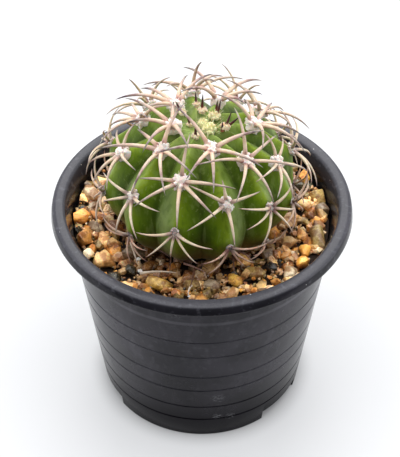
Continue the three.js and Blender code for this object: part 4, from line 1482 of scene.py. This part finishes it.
def stone_matrix(x, y, z, half, tilt, turn, roll=0.0):
    """Size, tilt and place of a stone in millimetres"""
    size = Matrix.Diagonal((half[0] * MM, half[1] * MM, half[2] * MM, 1.0))
    turned = Matrix.Rotation(turn, 4, "Z") @ Matrix.Rotation(tilt, 4, "Y") @ Matrix.Rotation(roll, 4, "X")
    return Matrix.Translation(Vector((x, y, z)) * MM) @ turned @ size


def stone_shade(x, y):
    """Painted shadow of the plant: stones in a patch in front of it and close round it are darker"""
    out_of_front_shadow = float(smooth_step(math.hypot(x - FRONT_SHADOW_PLACE[0], y - FRONT_SHADOW_PLACE[1]), *FRONT_SHADOW_REACH))
    unshaded = float(smooth_step(math.hypot(x, y), *PLANT_SHADOW_REACH))
    return (FRONT_SHADOW_TONE + (1 - FRONT_SHADOW_TONE) * out_of_front_shadow) * (PLANT_SHADOW_TONE + (1 - PLANT_SHADOW_TONE) * unshaded)


def keep_inside(verts):
    """Moves vertices that lie beyond the pot's inner face back to it"""
    for vert in verts:
        reach = math.hypot(vert.co.x, vert.co.y)
        limit = (wall_radius(vert.co.z / MM) - WALL - GAP) * MM
        if reach > limit:
            vert.co.x *= limit / reach
            vert.co.y *= limit / reach


def add_stone(whole, tones, source, matrix, colour, draw):
    """Adds a moved copy of a stone, in its own shade and warmth, and darker low down"""
    stone_bm = source.copy()
    bmesh.ops.transform(stone_bm, matrix=matrix, verts=stone_bm.verts)
    keep_inside(stone_bm.verts)
    # Painted shadow of the plant: darker and warmer near it
    unshaded = stone_shade(matrix.translation.x / MM, matrix.translation.y / MM)
    shade = spread(draw, *STONE_SHADES) * unshaded
    warm = spread(draw, *STONE_WARMTHS) * (PLANT_SHADOW_WARMTH - (PLANT_SHADOW_WARMTH - 1) * unshaded)
    tint = (colour[0] * shade * warm, colour[1] * shade, colour[2] * shade / warm)
    # Painted shade and soil stain: the lower half of each stone is darker
    for vert in source.verts:
        sunk = SUNK_SHADE + (1 - SUNK_SHADE) * float(smooth_step(vert.co.z, *SUNK_PART))
        tones.append((*(part * sunk ** power for part, power in zip(tint, SUNK_POWERS)), 1.0))
    add_copy(whole, stone_bm)
    stone_bm.free()


def pebble_places(draw):
    """The read pebbles, then others thrown at random and kept where they lie clear"""
    places = [{
        "x": x, "y": y, "half": [length / 2, width / 2, READ_PEBBLE_RISE * width],
        "turn": math.radians(turn), "colour": colour,
    } for x, y, length, width, turn, colour in READ_PEBBLES]
    outer = wall_radius(GRAVEL_BED_TOP) - WALL - GAP - PEBBLE_SMALL / 2
    for _ in range(PEBBLE_TRIES):
        free_area = outer ** 2 - PEBBLE_INNER_RADIUS ** 2
        reach = math.sqrt(PEBBLE_INNER_RADIUS ** 2 + next(draw) * free_area)
        heading = 2 * math.pi * next(draw)
        size = PEBBLE_SMALL + (PEBBLE_LARGE - PEBBLE_SMALL) * next(draw) * next(draw)
        place = {
            "x": reach * math.cos(heading), "y": reach * math.sin(heading),
            "half": [size * (least + more * next(draw)) for least, more in PEBBLE_SHAPE],
            "turn": math.pi * next(draw), "colour": None,
        }
        if all(math.hypot(place["x"] - other["x"], place["y"] - other["y"])
               > PEBBLE_SPACING * (sum(place["half"][:2]) + other["half"][0] + other["half"][1]) / 2
               for other in places):
            places.append(place)
    return places


def common_colour(draw):
    """One of the common stone colours"""
    return STONE_COLOURS[COMMON_COLOURS[int(next(draw) * len(COMMON_COLOURS))]]


place_draw = seeded(PEBBLE_SEED)
places = pebble_places(place_draw)
draw = seeded(STONE_SEED)
gravel_bm = bmesh.new()
gravel_tones = []
for place in places:
    tilt = PEBBLE_TILT * (next(place_draw) - 0.5)
    lift = PEBBLE_LIFT * next(place_draw)
    height = GRAVEL_BED_TOP + PEBBLE_SHOW * place["half"][2] + lift
    corners = READ_PEBBLE_CORNERS if place["colour"] else PEBBLE_CORNERS
    source = broken_stone(draw, corners, PEBBLE_WEAR)
    colour = STONE_COLOURS[place["colour"]] if place["colour"] else common_colour(draw)
    matrix = stone_matrix(place["x"], place["y"], height, place["half"], tilt, place["turn"])
    add_stone(gravel_bm, gravel_tones, source, matrix, colour, draw)
    source.free()
make_piece("gravel_stones", gravel_bm, stone, ["gravel"], 35, {"tone": gravel_tones})

# %% [markdown]
# Small stones and grit
#
# Between the big stones the bed is filled up with small ones and sharp grit. They are copies of a handful
# of broken stones, thrown over the ring between the plant and the wall and sunk to different depths.

# %% Small stones
SCATTER_SEED = 1291
SMALL_SHAPE = [(0.8, 1.35), (0.7, 1.0), (0.5, 0.9)]
SMALL_TILT = (-0.8, 0.8)
RING_OUTER = 46.2
RING_MIDDLE = -0.4
WALL_OVERLAP = 0.4
TUCKED_IN = 1.75
# Each kind: name, count, shapes, corners of a shape, least and most size, lowest and highest place
SCATTERED = [
    ("small_stones", 560, 12, 12, (1.2, 2.6), (77.4, 80.4)),
    ("grit", 1500, 8, 10, (0.35, 0.95), (78.2, 80.4)),
]


def globe_reach(height):
    """Radius of the globe at a height in millimetres"""
    high = (height - GLOBE_CENTRE[2]) / GLOBE_HALF_HEIGHT
    return GLOBE_RADIUS * math.sqrt(max(0.0, 1 - high * high))


def scatter(count, sources, sizes, heights, draw):
    """Throws copies of the sources over the ring round the plant, from just under its ribs to the wall"""
    bm = bmesh.new()
    tones = []
    for _ in range(count):
        size = spread(draw, *sizes)
        z = spread(draw, *heights)
        inner = globe_reach(z) - TUCKED_IN + size
        reach = math.sqrt(spread(draw, inner ** 2, (RING_OUTER - WALL_OVERLAP * size) ** 2))
        heading = spread(draw, 0, 2 * math.pi)
        half = [size * spread(draw, *part) for part in SMALL_SHAPE]
        x = reach * math.cos(heading) + RING_MIDDLE
        y = reach * math.sin(heading) + RING_MIDDLE
        tilt = spread(draw, *SMALL_TILT)
        turn = spread(draw, 0, 2 * math.pi)
        roll = spread(draw, *SMALL_TILT)
        source = sources[int(next(draw) * len(sources))]
        matrix = stone_matrix(x, y, z, half, tilt, turn, roll)
        add_stone(bm, tones, source, matrix, common_colour(draw), draw)
    return bm, tones


draw = seeded(SCATTER_SEED)
for name, count, shapes, corners, sizes, heights in SCATTERED:
    sources = [broken_stone(draw, corners) for _ in range(shapes)]
    stones_bm, tones = scatter(count, sources, sizes, heights, draw)
    make_piece(name, stones_bm, stone, (), 20, {"tone": tones})

# %% [markdown]
# The growing mix
#
# Under the stones lies dark moist peat. Only crumbs of it show in the gaps, but the block is whole, down to
# the drain holes. A spun disc with a rough top is enough: its upper face is divided and lifted by noise
# into crumbs.

# %% Growing mix
SOIL_STEPS = 160
SOIL_RINGS = 34
CRUMB_TOP = 77.9
CRUMB_HEIGHT = 1.1
CRUMB_SCALE = 380

peat, tree, shader = new_material("moist_peat", {"Roughness": 0.9})
crumbs = use_group(tree, mottling, Scale=450.0, Detail=6.0)
earth = mix_colours(tree, crumbs["Slow"], srgb(14, 7, 3), srgb(56, 35, 19))
earth = mix_colours(tree, scaled(tree, crumbs["Fine"], 0.6, 0.72, 0.0, 0.6), earth, srgb(104, 78, 50))
finish_material(tree, shader, earth, crumbs["Fine"], 0.0006, 1.0)

floor_top = FLOOR_UNDERSIDE + WALL + GAP
rings = np.linspace(wall_radius(CRUMB_TOP) - WALL - GAP, 0, SOIL_RINGS)
profile = [(0, floor_top), (wall_radius(floor_top) - WALL - GAP, floor_top)]
profile += [(radius, CRUMB_TOP) for radius in rings]
soil_bm = spin_profile(profile, SOIL_STEPS)
for vert in soil_bm.verts:
    if vert.co.z > SOIL_TOP * MM:
        vert.co.z += CRUMB_HEIGHT * MM * noise.fractal(vert.co * CRUMB_SCALE, 1.0, 2.2, 4)
make_piece("growing_mix", soil_bm, peat, ["growing_mix"], 60)

# %% [markdown]
# What has fallen on the gravel
#
# Old spines drop and lie on the stones: some are bleached, with lumps of white wool beside them, others are
# brown or rosy. They are tubes too, along lines of three points that follow where they lie, rounded into a
# curve between the points.

# %% Fallen spines
# Each fallen spine: three points in millimetres, thickness at the foot, colour
FALLEN = [
    ([(-21.4, -33.8, 83.4), (-15.2, -34.0, 84.6), (-8.3, -34.3, 84.2)], 0.5, "bleached"),
    ([(-25.0, -20.6, 85.5), (-23.7, -25.7, 85.2), (-22.3, -29.9, 83.6)], 0.45, "bleached"),
    ([(-7.2, -27.8, 84.2), (-2.4, -29.6, 84.8), (2.3, -32.3, 83.6)], 0.4, "brown"),
    ([(-6.3, -29.1, 83.6), (-1.7, -31.8, 84.0), (1.7, -33.5, 83.2)], 0.35, "rosy"),
    ([(-2.7, -32.0, 83.4), (-3.4, -37.9, 84.2), (-4.6, -41.7, 82.6)], 0.4, "brown"),
    ([(-3.6, -39.3, 83.0), (-4.6, -42.2, 83.4), (-4.4, -45.0, 82.2)], 0.4, "bleached"),
    ([(11.1, -24.1, 84.0), (11.0, -29.1, 84.4), (11.4, -33.4, 83.0)], 0.45, "brown"),
    ([(12.3, -24.1, 84.6), (15.4, -26.1, 85.0), (18.2, -29.1, 83.6)], 0.4, "rosy"),
    ([(-10.3, -22.0, 86.0), (-10.8, -28.1, 85.6), (-11.3, -34.8, 83.6)], 0.45, "brown"),
    ([(-18.4, -22.0, 84.6), (-15.0, -23.6, 84.8), (-11.2, -26.1, 83.6)], 0.35, "rosy"),
    ([(18.0, 33.5, 83.4), (22.0, 36.0, 84.0), (24.0, 39.0, 83.2)], 0.45, "brown"),
    ([(-30.0, 22.0, 83.4), (-26.0, 28.0, 84.0), (-21.0, 31.0, 83.2)], 0.4, "rosy"),
]
FALLEN_TONES = {"bleached": srgb(238, 228, 210), "brown": srgb(112, 78, 58), "rosy": srgb(176, 142, 132)}
FALLEN_RINGS = 12
# Each lump of wool: x, y and height in millimetres, and size
WOOL_LUMPS = [(-21.4, -33.3, 83.2, 0.62), (-22.2, -27.9, 83.6, 0.64), (-4.4, -44.2, 82.0, 0.35)]
LUMP_SEED = 907
LUMP_SHAPE = (0.8, 0.7, 0.6)
LUMP_TUFTS = 0.8

dry_horn, tree, shader = new_material("dry_horn", {"Roughness": 0.6})
grain = use_group(tree, mottling, Scale=420.0, Detail=3.0)
tone = read_value(tree, "tone", "Color")
tone = mix_colours(tree, grain["Slow"], tone, tinted(tree, tone, srgb(180, 150, 130)))
finish_material(tree, shader, tone, grain["Fine"], 0.00006, 0.5)

fallen_bm = bmesh.new()
fallen_tones = []
for line, thickness, kind in FALLEN:
    first, middle, last = np.array(line)
    control = 2 * middle - (first + last) / 2
    points = [(1 - part) ** 2 * first + 2 * part * (1 - part) * control + part ** 2 * last
              for part in np.linspace(0, 1, FALLEN_RINGS)]
    add_tube(fallen_bm, np.array(points), spine_radii(thickness, FALLEN_RINGS))
    fallen_tones += [FALLEN_TONES[kind]] * (FALLEN_RINGS * SPINE_SIDES)
bmesh.ops.recalc_face_normals(fallen_bm, faces=fallen_bm.faces)
make_piece("fallen_spines", fallen_bm, dry_horn, (), 60, {"tone": fallen_tones})

draw = seeded(LUMP_SEED)
lump_bm = bmesh.new()
for x, y, z, size in WOOL_LUMPS:
    add_wool_pad(lump_bm, level_axes(x, y, z), size, draw, LUMP_SHAPE, LUMP_TUFTS)
make_piece("fallen_wool", lump_bm, wool, (), 60, {"age": [0.0] * len(lump_bm.verts)})
